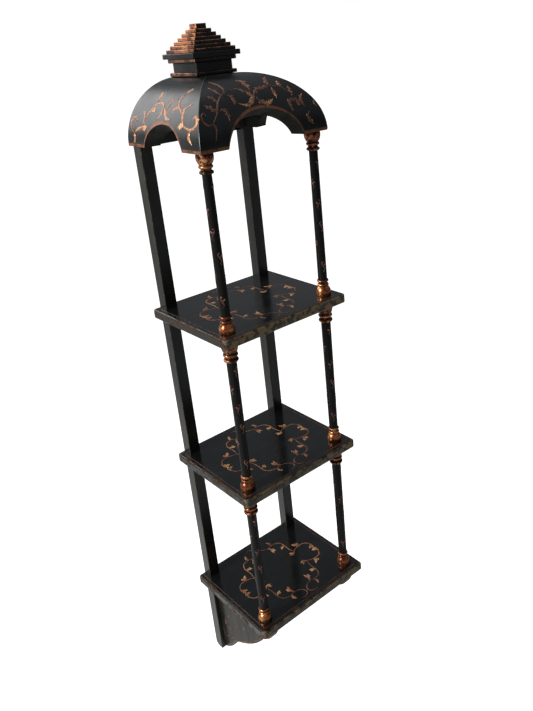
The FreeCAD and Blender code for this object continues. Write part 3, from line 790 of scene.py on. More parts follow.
# A brighter copy of the same copper paint for the side faces: painted light where light falls on the sides.
SIDE_COPPER_LIT = CopperPaint(
    "side_copper_lit", bright=(0.52, 0.225, 0.096), deep=(0.22, 0.09, 0.046), gold=(0.78, 0.49, 0.23),
    metal=0.3, skip=0.38, fleck=0.55,
)
PIN_BROWN = CopperPaint(
    "pin_brown", bright=(0.09, 0.034, 0.022), deep=(0.04, 0.018, 0.013), gold=(0.14, 0.06, 0.035),
    metal=0.2, skip=0.42,
)
TURNED_COPPER = CopperPaint(
    "turned_copper", bright=(0.54, 0.165, 0.05), deep=(0.19, 0.047, 0.015), gold=(0.88, 0.4, 0.15),
    metal=0.95, roughness=0.28, skip=0.46, fleck=0.7, gloss=0.15, varnish=0.5,
)
STEP_COPPER = CopperPaint(
    "step_copper", bright=(0.55, 0.22, 0.1), deep=(0.16, 0.06, 0.034), gold=(0.62, 0.28, 0.13),
    metal=0.85, roughness=0.34, skip=0.46,
)
BAND_COPPER = CopperPaint(
    "band_copper", bright=(0.24, 0.1, 0.055), deep=(0.06, 0.03, 0.022), gold=(0.34, 0.16, 0.085),
    metal=0.7, skip=0.46,
)
FAINT_COPPER = CopperPaint(
    "faint_copper", bright=(0.2, 0.075, 0.042), deep=(0.07, 0.03, 0.022), gold=(0.26, 0.1, 0.055),
    metal=0.2, skip=0.5,
)
CANOPY_LACQUER = Lacquer(
    "canopy_lacquer", worn=(0.25, 0.094, 0.044), wear=1.2, patch=(0.3, 0.56), metal=0.45
)
CANOPY_INSIDE = PlainFinish(
    "canopy_inside", (0.01, 0.01, 0.0085), (0.024, 0.024, 0.02), metal=0.0, roughness=0.7, gloss=0.15
)
# Pale hips: worn lacquer with a painted highlight along the edge.
HIP_WEAR_AND_HIGHLIGHT = Lacquer("worn_hip_highlight", dark=(0.03, 0.028, 0.025), smoke=(0.16, 0.14, 0.12), roughness=0.34)
FINIAL_BLACK = Lacquer("finial_black", worn=(0.28, 0.19, 0.12))
# The shelves' front edges take a much lighter haze than their sides: painted light on the front faces.
SHELF_LACQUER = Lacquer(
    "shelf_lacquer", worn=(0.15, 0.1, 0.06), roughness=0.16, grain=(0.12, 1.0, 1.0), wear=1.2,
    patch=(0.36, 0.6), line=(0.93, 0.99), haze=(0.028, 0.013, 0.002), lit_front_haze=(0.23, 0.16, 0.078),
    dull=1.9,
)
POST_LACQUER = Lacquer("post_lacquer", smoke=(0.026, 0.024, 0.017), worn=(0.1, 0.07, 0.045), wear=0.9)
BRACKET_LACQUER = Lacquer(
    "bracket_lacquer", dark=(0.01, 0.0095, 0.007), smoke=(0.056, 0.051, 0.034), worn=(0.17, 0.08, 0.045),
    wear=1.4, roughness=0.26, gloss=0.1,
)
HIDDEN_FINISHES = {
    "screw_steel": PlainFinish(
        "steel", (0.35, 0.35, 0.36), (0.55, 0.55, 0.55), metal=1.0, roughness=0.35
    ),
    "hanger_steel": PlainFinish("plate", (0.4, 0.4, 0.41), (0.6, 0.6, 0.6), metal=1.0, roughness=0.3),
    "inner_wood": PlainFinish(
        "inner", (0.012, 0.011, 0.010), (0.03, 0.026, 0.022), metal=0.0, roughness=0.7
    ),
}

SIDE_VINE = [
    leaf(5.0, (17, 6), (23, 11), (22, 21)),
    stem(4.3, (22, 21), (12, 27), (9, 36), (13, 42), (20, 45), (26, 42), (24, 38)),
    stem(4.6, (22, 21), (32, 27), (45, 30), (52, 30)),
    leaf(7.4, (43, 32), (56, 28)),
    stem(5.4, (44, 31), (47, 39), (46, 49), (42, 53), (36, 55)),
    stem(4.6, (50, 45), (60, 60), (67, 67), (79, 70), (88, 67), (91, 60), (87, 47), (79, 42)),
    leaf(5.8, (68, 71), (66, 81), (64, 90)),
    leaf(6.2, (62, 60), (66, 57), (70, 60)),
    stem(5.8, (89, 64), (100, 57), (104, 51), (112, 45), (120, 45)),
    stem(5.4, (101, 58), (102, 66), (107, 73), (119, 77)),
    stem(4.6, (151, 50), (146, 56), (136, 62), (129, 69), (126, 78), (129, 86), (135, 95)),
    leaf(5.0, (129, 86), (132, 92), (138, 97)),
    stem(5.0, (136, 62), (127, 63), (121, 59), (120, 54)),
    stem(5.4, (160, 37), (152, 46), (150, 54), (151, 62), (163, 70)),
    stem(
        4.3, (155, 38), (163, 35), (175, 32), (184, 34), (190, 40), (189, 47), (184, 51), (180, 48), (182, 44)
    ),
    leaf(7.4, (143, 33), (158, 39)),
    leaf(6.6, (187, 44), (193, 45)),
    leaf(4.8, (180, 32), (176, 26), (176, 20), (184, 12)),
]
FRONT_VINE = [
    Stroke(((-91, 15), (-87, 24), (-85, 31), (-88, 38)), 4.6, Taper.BUD),
    stem(3.0, (-88, 38), (-96, 37), (-102, 44), (-101, 52), (-95, 55), (-94, 51)),
    stem(3.0, (-88, 38), (-77, 49), (-67, 64), (-58, 75), (-45, 84), (-34, 88)),
    leaf(5.4, (-74, 53), (-76, 56), (-81, 62), (-89, 68)),
    leaf(4.2, (-64, 68), (-65, 71), (-69, 79), (-77, 84)),
    leaf(4.0, (-51, 80), (-53, 84), (-56, 92), (-62, 100)),
    leaf(3.8, (-43, 85), (-40, 96), (-42, 106), (-50, 115)),
    leaf(5.4, (-70, 54), (-62, 56), (-58, 50), (-59, 39)),
    leaf(5.4, (-48, 78), (-38, 78), (-36, 71), (-39, 61)),
    leaf(6.4, (-38, 86), (-23, 90), (-12, 86), (-6, 80), (-2, 71), (-6, 64), (-15, 58), (-23, 58), (-31, 62)),
    leaf(7.4, (2, 82), (2, 90), (3, 98), (2, 106), (-7, 110)),
    leaf(6.0, (1, 69), (7, 78), (18, 84), (30, 85), (38, 85)),
    leaf(6.2, (45, 86), (41, 91), (43, 100), (49, 110)),
    leaf(5.4, (60, 79), (59, 85), (61, 95)),
    leaf(5.4, (42, 85), (41, 77), (40, 71), (39, 62)),
    leaf(6.0, (4, 70), (6, 62), (12, 58), (21, 56), (31, 61)),
    stem(2.6, (36, 85), (46, 85), (58, 82), (64, 74), (68, 66)),
    leaf(5.0, (69, 61), (71, 71), (72, 80)),
    leaf(5.4, (84, 41), (81, 47), (81, 54), (89, 63)),
    leaf(5.8, (82, 49), (75, 52), (69, 55), (60, 54), (57, 47), (59, 37)),
    leaf(4.4, (70, 55), (74, 50), (73, 44)),
    leaf(5.2, (89, 33), (84, 26), (86, 20), (92, 13)),
    leaf(3.4, (106, 38), (103, 47)),
]
WREATH_QUARTER = [
    stem(2.6, (91, 8), (89, 18), (82, 25), (70, 26), (58, 23), (51, 18)),
    leaf(7.0, (93, 15), (88.8, 6.6), (81.2, 4.1)),
    leaf(3.9, (91, 12), (91, 4.4), (87.6, -0.6)),
    leaf(6.2, (54, 22), (48.1, 16.1), (39.7, 17)),
    leaf(3.6, (50, 18), (45.8, 19.7), (40.8, 23)),
    leaf(6.7, (66, 25), (67.7, 31.7), (61.8, 39.3)),
    leaf(4.2, (67, 28), (72, 31.4), (72, 36.4)),
    stem(2.6, (52, 22), (50, 34), (50, 46), (50, 56), (44, 66), (32, 69), (20, 66)),
    leaf(5.0, (52, 52), (46.1, 47.8), (38.6, 43.6)),
    leaf(3.3, (48, 49), (43, 49.8), (39.6, 47.3)),
    leaf(5.9, (19, 68), (24, 58.8), (21.5, 47)),
    leaf(3.6, (22, 62), (27, 57), (27.9, 50.2)),
    leaf(5.0, (28, 68), (31.4, 74.7), (28, 83.1)),
    stem(2.4, (22, 67), (10, 70), (3, 78), (4, 87), (12, 91), (20, 90)),
]
BRACKET_VINE = [
    leaf(4.4, (-46, -915), (-52, -922), (-60, -920)),
    leaf(3.6, (-32, -926), (-37, -918), (-36, -908)),
    leaf(3.4, (-50, -898), (-52, -890), (-60, -884)),
    leaf(3.8, (-80, -868), (-84, -861), (-94, -860)),
    leaf(3.6, (-96, -892), (-104, -888), (-108, -878)),
    leaf(3.8, (-126, -852), (-134, -856), (-142, -850)),
    leaf(3.4, (-34, -960), (-40, -950), (-48, -948)),
    leaf(3.2, (-154, -836), (-162, -838), (-170, -832)),
    leaf(3.0, (-66, -938), (-60, -944), (-52, -942)),
    leaf(3.0, (-112, -834), (-106, -840), (-96, -838)),
]


@dataclass(frozen=True)
class ColumnEnd:
    """One end of a column: bulb, bead and shaft across, in millimetres, and a stretch in height.

    Foot, waist and neck are shares of the bulb or the bead. The levels are those of the foot, the widest
    bulb, its top, the first bead, the neck's two ends, the second bead and the shaft. The bulb, the first
    bead, the neck and the outer bead, next to the shaft, have their own shares of gilding.
    """

    bulb: float
    bead: float
    shaft: float
    stretch: float = 1.0
    outer: float = 1.4
    ball: float = 1.6
    inner: float = 1.4
    hollow: float = 0.5
    foot_share: float = 0.465
    waist_share: float = 0.405
    neck_share: float = 0.37
    levels: tuple[float, ...] = (0.0, 4.8, 16.2, 18.4, 20.6, 23.6, 25.8, 28.0)
    ball_points: int = 24
    bead_points: int = 12

    def profile(self) -> tuple[Array, Array]:
        """Radius and height from the foot to the shaft, with the share of gilding.

        Returns:
            The points and the gilding of each, most on a crest and least in a groove.
        """
        foot, bulb = self.foot_share * self.bulb, 0.5 * self.bulb
        waist, bead, neck = self.waist_share * self.bead, 0.5 * self.bead, self.neck_share * self.bead
        shaft = 0.5 * self.shaft
        levels = self.stretch * np.array(self.levels)
        rise = levels[4] + (levels[5] - levels[4]) * np.array([0.33, 0.67])
        points = [
            arc_through((foot, levels[0]), (bulb, levels[1]), (waist, levels[2]), self.ball_points),
            arc_through((waist, levels[2]), (bead, levels[3]), (neck, levels[4]), self.bead_points)[1:],
            np.column_stack([np.full(2, neck), rise]),
            arc_through((neck, levels[5]), (bead, levels[6]), (shaft, levels[7]), self.bead_points),
        ]
        crest = np.sin(np.pi * np.linspace(0.0, 1.0, self.bead_points)) ** 0.7
        gilt = [
            self.ball * np.sin(np.pi * np.linspace(0.1, 0.97, self.ball_points)) ** 0.5,
            self.inner * crest[1:],
            np.full(2, self.hollow),
            self.outer * crest,
        ]
        return np.vstack(points) * MM, np.concatenate(gilt)


@dataclass
class Column:
    """A turned column: bulb, bead, neck and bead at each end of a slender shaft, turned round a profile."""

    head: ColumnEnd
    foot: ColumnEnd = ColumnEnd(25.8, 20.0, 15.9)
    height: float = 276 * MM
    turns: int = 48
    shaft_rows: int = 24
    flecks: tuple[float, ...] = (52.0, 88.0, 121.0, 158.0, 192.0, 224.0)
    fleck_step: float = 17.0
    fleck_stray: float = 4.0
    half_round: float = 24.0
    first_turn: float = -0.75 * math.pi
    sprig: tuple[tuple[float, float], ...] = ((0, -9), (2.2, -4), (0, 1), (-2.4, 5), (-0.6, 9), (1.4, 7))
    sprig_leaf: tuple[tuple[float, float], ...] = ((0, 1), (4.5, 5))
    sprig_width: float = 1.9
    leaf_width: float = 3.0
    paint_height: float = 0.35 * MM

    def profile(self) -> tuple[Array, Array]:
        """The whole profile: the foot, a straight shaft and the head upside down.

        Returns:
            Radius and height from foot to head, and the gilding there.
        """
        foot, foot_gilt = self.foot.profile()
        head, head_gilt = self.head.profile()
        head = np.stack([head[:, 0], self.height - head[:, 1]], axis=-1)[::-1]
        share = np.linspace(0, 1, self.shaft_rows + 2)[1:-1, None]
        shaft = foot[-1] * (1 - share) + head[0] * share
        gilt = np.concatenate([foot_gilt, np.zeros(len(shaft)), head_gilt[::-1]])
        return np.vstack([foot, shaft, head]), gilt

    def vine(self, seed: int) -> list[Stroke]:
        """Small sprigs up the shaft, each an S with a leaf, on both sides and turned from one to the next.

        Args:
            seed: start of the turns.

        Returns:
            Strokes in millimetres round the shaft and up it.
        """
        count = len(self.flecks)
        stray = np.random.default_rng(seed).uniform(-self.fleck_stray, self.fleck_stray, count)
        strokes = []
        for number, (around, up) in enumerate(zip(stray + self.fleck_step * np.arange(count), self.flecks)):
            hand = 1 - 2 * (number % 2)
            for start in (around, around + self.half_round):
                curl = ((start + hand * x, up + z) for x, z in self.sprig)
                blade = ((start + hand * x, up + z) for x, z in self.sprig_leaf)
                strokes += [stem(self.sprig_width, *curl), leaf(self.leaf_width, *blade)]
        return strokes

    def build(self, node: str, material: bpy.types.Material, paint: bpy.types.Material, seed: int) -> None:
        """Turn the profile round its axis: (r cos a, r sin a, z) for each profile point (r, z).

        Args:
            node: the CAD column that the new one stands for.
            material: its finish.
            paint: the copper of the sprigs.
            seed: start of the sprigs' places.
        """
        low, high = node_box(node)
        middle = (low + high) / 2
        outline, gilt = self.profile()
        angle = np.linspace(0, 2 * np.pi, self.turns, endpoint=False)
        rings = np.stack(
            [
                middle[0] + outline[:, :1] * np.cos(angle),
                middle[1] + outline[:, :1] * np.sin(angle),
                low[2] + np.repeat(outline[:, 1:], self.turns, axis=1),
            ],
            axis=-1,
        )
        faces = tube_faces(len(outline), self.turns)
        piece = put_mesh(node + "_turned", rings, faces, {"gilt": np.repeat(gilt, self.turns)}, sharp=50)
        settle(piece, material, "column_lacquer", node)

        def shaft(flat: Array) -> tuple[Array, Array]:
            """The shaft's surface.

            Args:
                flat: arc length round the shaft and height, per row.

            Returns:
                The points and the way out.
            """
            radius = np.interp(flat[:, 1], outline[:, 1], outline[:, 0])
            turn = flat[:, 0] / (0.5 * self.foot.shaft * MM) + self.first_turn
            out = np.column_stack([np.cos(turn), np.sin(turn), np.zeros(len(turn))])
            axis = np.column_stack([np.tile(middle[:2], (len(turn), 1)), low[2] + flat[:, 1]])
            return axis + radius[:, None] * out, out

        brush = Brushwork(node + "_sprigs", samples=14, height=self.paint_height)
        settle(brush.lay(self.vine(seed), shaft, seed), paint, "finial_copper")


@dataclass
class Plate:
    """A square finial plate: a square ring with rounded corners, carried up an eased profile.

    The profile goes out along the foot, round the lower ease, up the side, round the upper ease and in along
    the top; the corners have the radius of the ease. The paint is rubbed on most along the upper ease and
    the upright corners, which are worn and also carry a painted highlight, and least at the foot. On the
    front it is kept thin below the upper ease: painted shade that leaves the front faces dark.
    the upright corners, and on the front hardly anywhere else.
    """

    ease: float
    corner: int = 5
    round_steps: int = 5
    middle_share: float = 0.3
    side_levels: tuple[float, ...] = (0.2, 0.6, 0.92)
    foot_rub: float = 0.3
    side_rub: tuple[float, ...] = (1.2, 1.45, 1.7)
    ease_rub: float = 2.0
    top_rub: float = 0.4
    corner_rub_and_highlight: float = 1.5
    shaded_front_ease_rub: float = 0.8
    shaded_front_share: float = 0.07

    def ring(self, half: float, radius: float) -> Array:
        """A square of rounded corners.

        Args:
            half: half its side.
            radius: radius of the corners.

        Returns:
            Points round the square.
        """
        turn = np.linspace(0, np.pi / 2, self.corner + 1)
        quarter = np.stack([np.cos(turn), np.sin(turn)], axis=-1) * radius + (half - radius)
        quarter_turn = np.array([[0.0, 1.0], [-1.0, 0.0]])
        return np.vstack([quarter @ np.linalg.matrix_power(quarter_turn, number) for number in range(4)])

    def rub(self) -> Array:
        """How much paint is rubbed on.

        Returns:
            The paint by ring of the profile and place round the ring.
        """
        foot = np.linspace(0.0, self.foot_rub, self.round_steps)
        upper = np.full(self.round_steps, self.ease_rub)
        around = np.concatenate([[0.0], foot, self.side_rub, upper, [self.top_rub]])
        # On the front the paint is kept thin except along the upper ease: painted shade, so the front faces
        # stay dark.
        faint = np.where(around < self.ease_rub, self.shaded_front_share * around, self.shaded_front_ease_rub)
        way = np.tile(np.arange(self.corner + 1) * np.pi / (2 * self.corner), 4)
        way += np.repeat(np.arange(4), self.corner + 1) * np.pi / 2
        front = np.clip(-np.sin(way), 0, 1) ** 2
        # The upright corners take more paint: wear, and a painted highlight on the arrises.
        corners = self.corner_rub_and_highlight * np.sin(2 * way) ** 2
        return np.maximum(around[:, None] * (1 - front) + faint[:, None] * front, corners)

    def build(self, node: str, material: bpy.types.Material, slot: str) -> None:
        """Build the plate in place of a CAD node.

        Args:
            node: the CAD plate.
            material: its finish.
            slot: the record's slot.
        """
        low, high = node_box(node)
        half = (high[0] - low[0]) / 2
        middle = (low + high)[:2] / 2
        ease = min(self.ease, 0.45 * (high[2] - low[2]))
        turn = np.linspace(0, np.pi / 2, self.round_steps)
        lower = np.stack([half - ease * (1 - np.sin(turn)), low[2] + ease * (1 - np.cos(turn))], axis=-1)
        upper = np.stack([half - ease * (1 - np.cos(turn)), high[2] - ease * (1 - np.sin(turn))], axis=-1)
        levels = low[2] + ease + (high[2] - low[2] - 2 * ease) * np.array(self.side_levels)
        side = np.column_stack([np.full(len(levels), half), levels])
        inner = half * self.middle_share
        outline = np.vstack([[[inner, low[2]]], lower, side, upper, [[inner, high[2]]]])
        rings = [self.ring(size, min(ease, size / 2)) + middle for size in outline[:, 0]]
        points = np.dstack([np.array(rings), np.repeat(outline[:, 1:], len(rings[0]), axis=1)])
        faces = tube_faces(*points.shape[:2])
        piece = put_mesh(node + "_eased", points, faces, {"rim": self.rub()}, sharp=50)
        settle(piece, material, slot, node)


@dataclass
class Cove:
    """One coved canopy face: a quarter ellipse from the foot inwards and upwards, between two hips.

    At turn p from 0 to a quarter circle the face lies run * (1 - cos p) inside the foot line and
    rise * sin p above it. Each end has a place and a run of its own, and moves in by it in the same way.
    """

    foot: float
    run: float
    rise: float
    low_end: tuple[float, float]
    high_end: tuple[float, float]

    def inset(self, turn: Array) -> Array:
        """Returns: distance in from the foot line."""
        return self.run * (1 - np.cos(turn))

    def reach(self, turn: Array) -> tuple[Array, Array]:
        """Returns: where the face starts and ends along its length."""
        ease = 1 - np.cos(turn)
        return self.low_end[0] + self.low_end[1] * ease, self.high_end[0] - self.high_end[1] * ease

    def turn_at(self, climb: Array) -> Array:
        """Returns: the turn at an arc length up the face."""
        turn = np.linspace(0, np.pi / 2, 400)
        steps = np.hypot(np.diff(self.inset(turn)), np.diff(self.rise * np.sin(turn)))
        return np.interp(climb, np.concatenate([[0.0], np.cumsum(steps)]), turn)


@dataclass
class Arch:
    """The arch of a canopy face: an arc of a circle cut in along a slope."""

    middle: float
    width: float
    rise: float
    slope: float = 0.55

    @property
    def radius(self) -> float:
        """Returns: radius of the arc."""
        return (self.width**2 / 4 + self.rise**2) / (2 * self.rise)

    def half_at(self, depth: float) -> float:
        """Returns: half the width of the opening in the foot plane at a depth into the wall."""
        drop = self.slope * depth - self.rise + self.radius
        return math.sqrt(self.radius**2 - drop**2)

    def turns(self, cove: Cove, depth: float, along: Array) -> Array:
        """The cove's turn on the arch.

        Args:
            cove: the face.
            depth: how far the cove's foot lies inside the outer foot line.
            along: places along the face.

        Returns:
            The turn at each place.
        """
        turn = np.linspace(0, np.pi / 2, 2000)
        level = cove.rise * np.sin(turn) + self.slope * (depth + cove.inset(turn))
        height = np.sqrt(np.clip(self.radius**2 - (along - self.middle) ** 2, 0, None))
        return np.interp(self.rise - self.radius + height, level, turn)


@dataclass
class Canopy:
    """The coved canopy: three thick panels with arches, painted vines, borders, and worn hips with a painted
    highlight.
    """

    half_width: float = 119 * MM
    front: float = 205.5 * MM
    foot_z: float = 60 * MM
    rise: float = 95 * MM
    wall: float = 25 * MM
    top: float = 12 * MM
    back: float = 10 * MM
    side_run: float = 93.5 * MM
    front_run: float = 100 * MM
    back_run: float = 19 * MM
    side_opening: tuple[float, float] = (107 * MM, 40 * MM)
    front_opening: tuple[float, float] = (142 * MM, 54 * MM)
    rows: int = 30
    arch_columns: int = 61
    foot_columns: int = 9
    past_border: float = 60 * MM
    border: float = 5.4 * MM
    boards: tuple[str, ...] = ("canopy_top_board", "canopy_back_panel")
    board_edge: float = 2 * MM
    hip_radius: float = 0.75 * MM
    hip_sink: float = 0.25 * MM
    hip_rows: int = 40
    hip_points: int = 8
    hip_margin: float = 0.02

    def side_cove(self, inner: bool) -> Cove:
        """A cove of a side panel; lengths run forwards from the wall.

        Args:
            inner: the inner cove, not the outer one.

        Returns:
            The cove.
        """
        wall, top, back = (self.wall, self.top, self.back) if inner else (0.0, 0.0, 0.0)
        return Cove(
            self.half_width - wall, self.side_run - wall, self.rise - top,
            (back, self.back_run - back), (self.front - wall, self.front_run - wall),
        )

    def front_cove(self, inner: bool) -> Cove:
        """A cove of the front panel; lengths run along X.

        Args:
            inner: the inner cove, not the outer one.

        Returns:
            The cove.
        """
        wall, top = (self.wall, self.top) if inner else (0.0, 0.0)
        half, run = self.half_width - wall, self.side_run - wall
        return Cove(self.front - wall, self.front_run - wall, self.rise - top, (-half, run), (half, run))

    def side_arch(self) -> Arch:
        """Returns: the arch of a side panel."""
        return Arch(self.front / 2, *self.side_opening)

    def front_arch(self) -> Arch:
        """Returns: the arch of the front panel."""
        return Arch(0.0, *self.front_opening)

    def shell(self, cove: Cove, arch: Arch, depth: float) -> tuple[Array, Array, Array]:
        """A net of lines over one face, from the foot or arch up to the flat top.

        Args:
            cove: the face.
            arch: its arch.
            depth: how far the face's foot lies inside the outer one.

        Returns:
            Place along the face, turn, and arc length from the lower edge, by line and row.
        """
        half = arch.half_at(depth)
        swing = np.sin(np.linspace(-np.pi / 2, np.pi / 2, self.arch_columns))
        parts = [
            np.linspace(cove.low_end[0], arch.middle - half, self.foot_columns)[:-1],
            arch.middle + half * swing,
            np.linspace(arch.middle + half, cove.high_end[0], self.foot_columns)[1:],
        ]
        along = np.concatenate(parts)
        turn = np.where(np.abs(along - arch.middle) < half, arch.turns(cove, depth, along), 0.0)
        start, end = cove.reach(turn)
        share = (along - start) / (end - start)
        climb = np.linspace(0, 1, self.rows)
        turns = turn[:, None] + (np.pi / 2 - turn[:, None]) * climb
        start, end = cove.reach(turns)
        places = start + share[:, None] * (end - start)
        heights = cove.rise * np.sin(turns)
        steps = np.hypot(np.diff(cove.inset(turns), axis=1), np.diff(heights, axis=1))
        length = np.concatenate([np.zeros((len(along), 1)), np.cumsum(steps, axis=1)], axis=1)
        return places, turns, length

    def panel(self, outer: Cove, inner: Cove, arch: Arch) -> Panel:
        """A panel as a closed ring, outer face up and inner face down, carried along its length.

        Args:
            outer: outer face.
            inner: inner face.
            arch: the arch through both.

        Returns:
            Points as length, inset and height; faces; the distance from the lower edge outside and a large
            one inside; and for each face 0 outside and 1 inside.
        """
        depth = outer.foot - inner.foot
        sheets = []
        rims = []
        for cove, deep, order in ((outer, 0.0, 1), (inner, depth, -1)):
            places, turns, length = self.shell(cove, arch, deep)
            height = self.foot_z + cove.rise * np.sin(turns)
            sheets.append(np.stack([places, deep + cove.inset(turns), height], axis=-1)[:, ::order])
            rims.append(length if cove is outer else np.full_like(length, self.past_border))
        ring = np.concatenate(sheets, axis=1)
        lines, around = ring.shape[:2]
        inside = np.tile(np.arange(around) >= self.rows - 1, lines - 1)
        finishes = np.concatenate([inside, [True, True]]).astype(int)
        rim = np.concatenate(rims, axis=1).ravel()
        return ring.reshape(-1, 3), tube_faces(lines, around), rim, finishes

    def side_point(self, side: Side, flat: Array) -> tuple[Array, Array]:
        """Points and outward directions on a side face.

        Args:
            side: which face.
            flat: distance from the wall and arc length up the cove, per row.

        Returns:
            The points and the directions.
        """
        turn = self.side_cove(False).turn_at(flat[:, 1])
        x = self.half_width - self.side_run * (1 - np.cos(turn))
        spot = np.column_stack([side.value * x, -flat[:, 0], self.foot_z + self.rise * np.sin(turn)])
        out, up = side.value * np.cos(turn) / self.side_run, np.sin(turn) / self.rise
        return spot, unit(np.column_stack([out, np.zeros_like(turn), up]))

    def front_point(self, flat: Array) -> tuple[Array, Array]:
        """Points and outward directions on the front face.

        Args:
            flat: X and arc length up the cove, per row.

        Returns:
            The points and the directions.
        """
        turn = self.front_cove(False).turn_at(flat[:, 1])
        y = -self.front + self.front_run * (1 - np.cos(turn))
        spot = np.column_stack([flat[:, 0], y, self.foot_z + self.rise * np.sin(turn)])
        out, up = -np.cos(turn) / self.front_run, np.sin(turn) / self.rise
        return spot, unit(np.column_stack([np.zeros_like(turn), out, up]))

    def build(self, effects: Effects, cad: Nodes, paint: bpy.types.Material) -> None:
        """Build panels, vines and hips, and finish the two boards.

        Args:
            effects: the shared groups.
            cad: the CAD nodes by name.
            paint: the copper of the front vine.
        """
        skin = CANOPY_LACQUER.material(effects, near_border(self.border))
        inside = CANOPY_INSIDE.material(effects)
        # The side vines take the brighter copy of the copper: painted light.
        lit_side_paint = SIDE_COPPER_LIT.material(everywhere(1.0), stored("tone"))
        panel = self.panel(self.side_cove(False), self.side_cove(True), self.side_arch())
        for side in Side:
            along, inset, height = panel[0].T
            points = np.column_stack([side.value * (self.half_width - inset), -along, height])
            names = ("canopy_side_" + side.word, "canopy_panel_" + side.word)
            self.hang_panel(names, (points, *panel[1:]), skin, inside)
            vine = Brushwork("canopy_vine_" + side.word).lay(
                frilled(SIDE_VINE, reach=0.7), lambda flat, side=side: self.side_point(side, flat), seed=3
            )
            settle(vine, lit_side_paint, "finial_copper")
        panel = self.panel(self.front_cove(False), self.front_cove(True), self.front_arch())
        along, inset, height = panel[0].T
        points = np.column_stack([along, inset - self.front, height])
        self.hang_panel(("canopy_front", "canopy_panel_front"), (points, *panel[1:]), skin, inside)
        brush = Brushwork("canopy_vine_front", ragged=0.4)
        settle(brush.lay(frilled(FRONT_VINE), self.front_point, seed=5), paint, "finial_copper")
        self.hips(HIP_WEAR_AND_HIGHLIGHT.material(effects, everywhere(0.0)))
        for name in self.boards:
            board = Lacquer("lacquer_" + name)
            refinish(cad[name], board.material(effects, box_edges(effects, name, self.board_edge)))

    @staticmethod
    def hang_panel(
        names: tuple[str, str], panel: Panel, skin: bpy.types.Material, inside: bpy.types.Material
    ) -> None:
        """Put a panel into the scene.

        Args:
            names: name of the new piece and of the CAD panel that it stands for.
            panel: points, faces, distance from the lower edge, and finish of each face.
            skin: the lacquer outside.
            inside: the dull black inside.
        """
        points, faces, rim, finishes = panel
        piece = put_mesh(names[0], points, faces, {"rim": rim}, finishes=finishes)
        settle(piece, skin, "canopy_lacquer", names[1])
        piece.data.materials.append(inside)

    def hips(self, worn: bpy.types.Material) -> None:
        """Pale worn rounds along the two front hips, with a painted highlight: a small circle carried up each
        hip curve.

        Args:
            worn: the finish, pale for wear and for a painted highlight.
        """
        turn = np.linspace(self.hip_margin, np.pi / 2 - self.hip_margin, self.hip_rows)
        ease = 1 - np.cos(turn)
        spin = np.linspace(0, 2 * np.pi, self.hip_points, endpoint=False)[:, None]
        for side in Side:
            line = np.column_stack([
                side.value * (self.half_width - self.side_run * ease),
                -self.front + self.front_run * ease,
                self.foot_z + self.rise * np.sin(turn),
            ])
            tangent = unit(np.gradient(line, axis=0))
            level = unit(np.cross(tangent, [0.0, 0.0, 1.0]))
            upward = np.cross(level, tangent)
            ring = level[:, None] * np.cos(spin) + upward[:, None] * np.sin(spin)
            points = line[:, None] + self.hip_radius * ring - self.hip_sink * upward[:, None]
            faces = tube_faces(self.hip_rows, self.hip_points)
            settle(put_mesh("canopy_hip_" + side.word, points, faces), worn, "canopy_lacquer")


@dataclass
class Posts:
    """The two square rear posts, shown as the CAD has them."""

    worn_edge: float = 1.8 * MM

    def dress(self, effects: Effects, cad: Nodes) -> None:
        """Finish the posts.

        Args:
            effects: the shared groups.
            cad: the CAD nodes by name.
        """
        for side in Side:
            name = "rear_post_" + side.word
            near = box_edges(effects, name, self.worn_edge)
            refinish(cad[name], replace(POST_LACQUER, name="lacquer_" + name).material(effects, near))


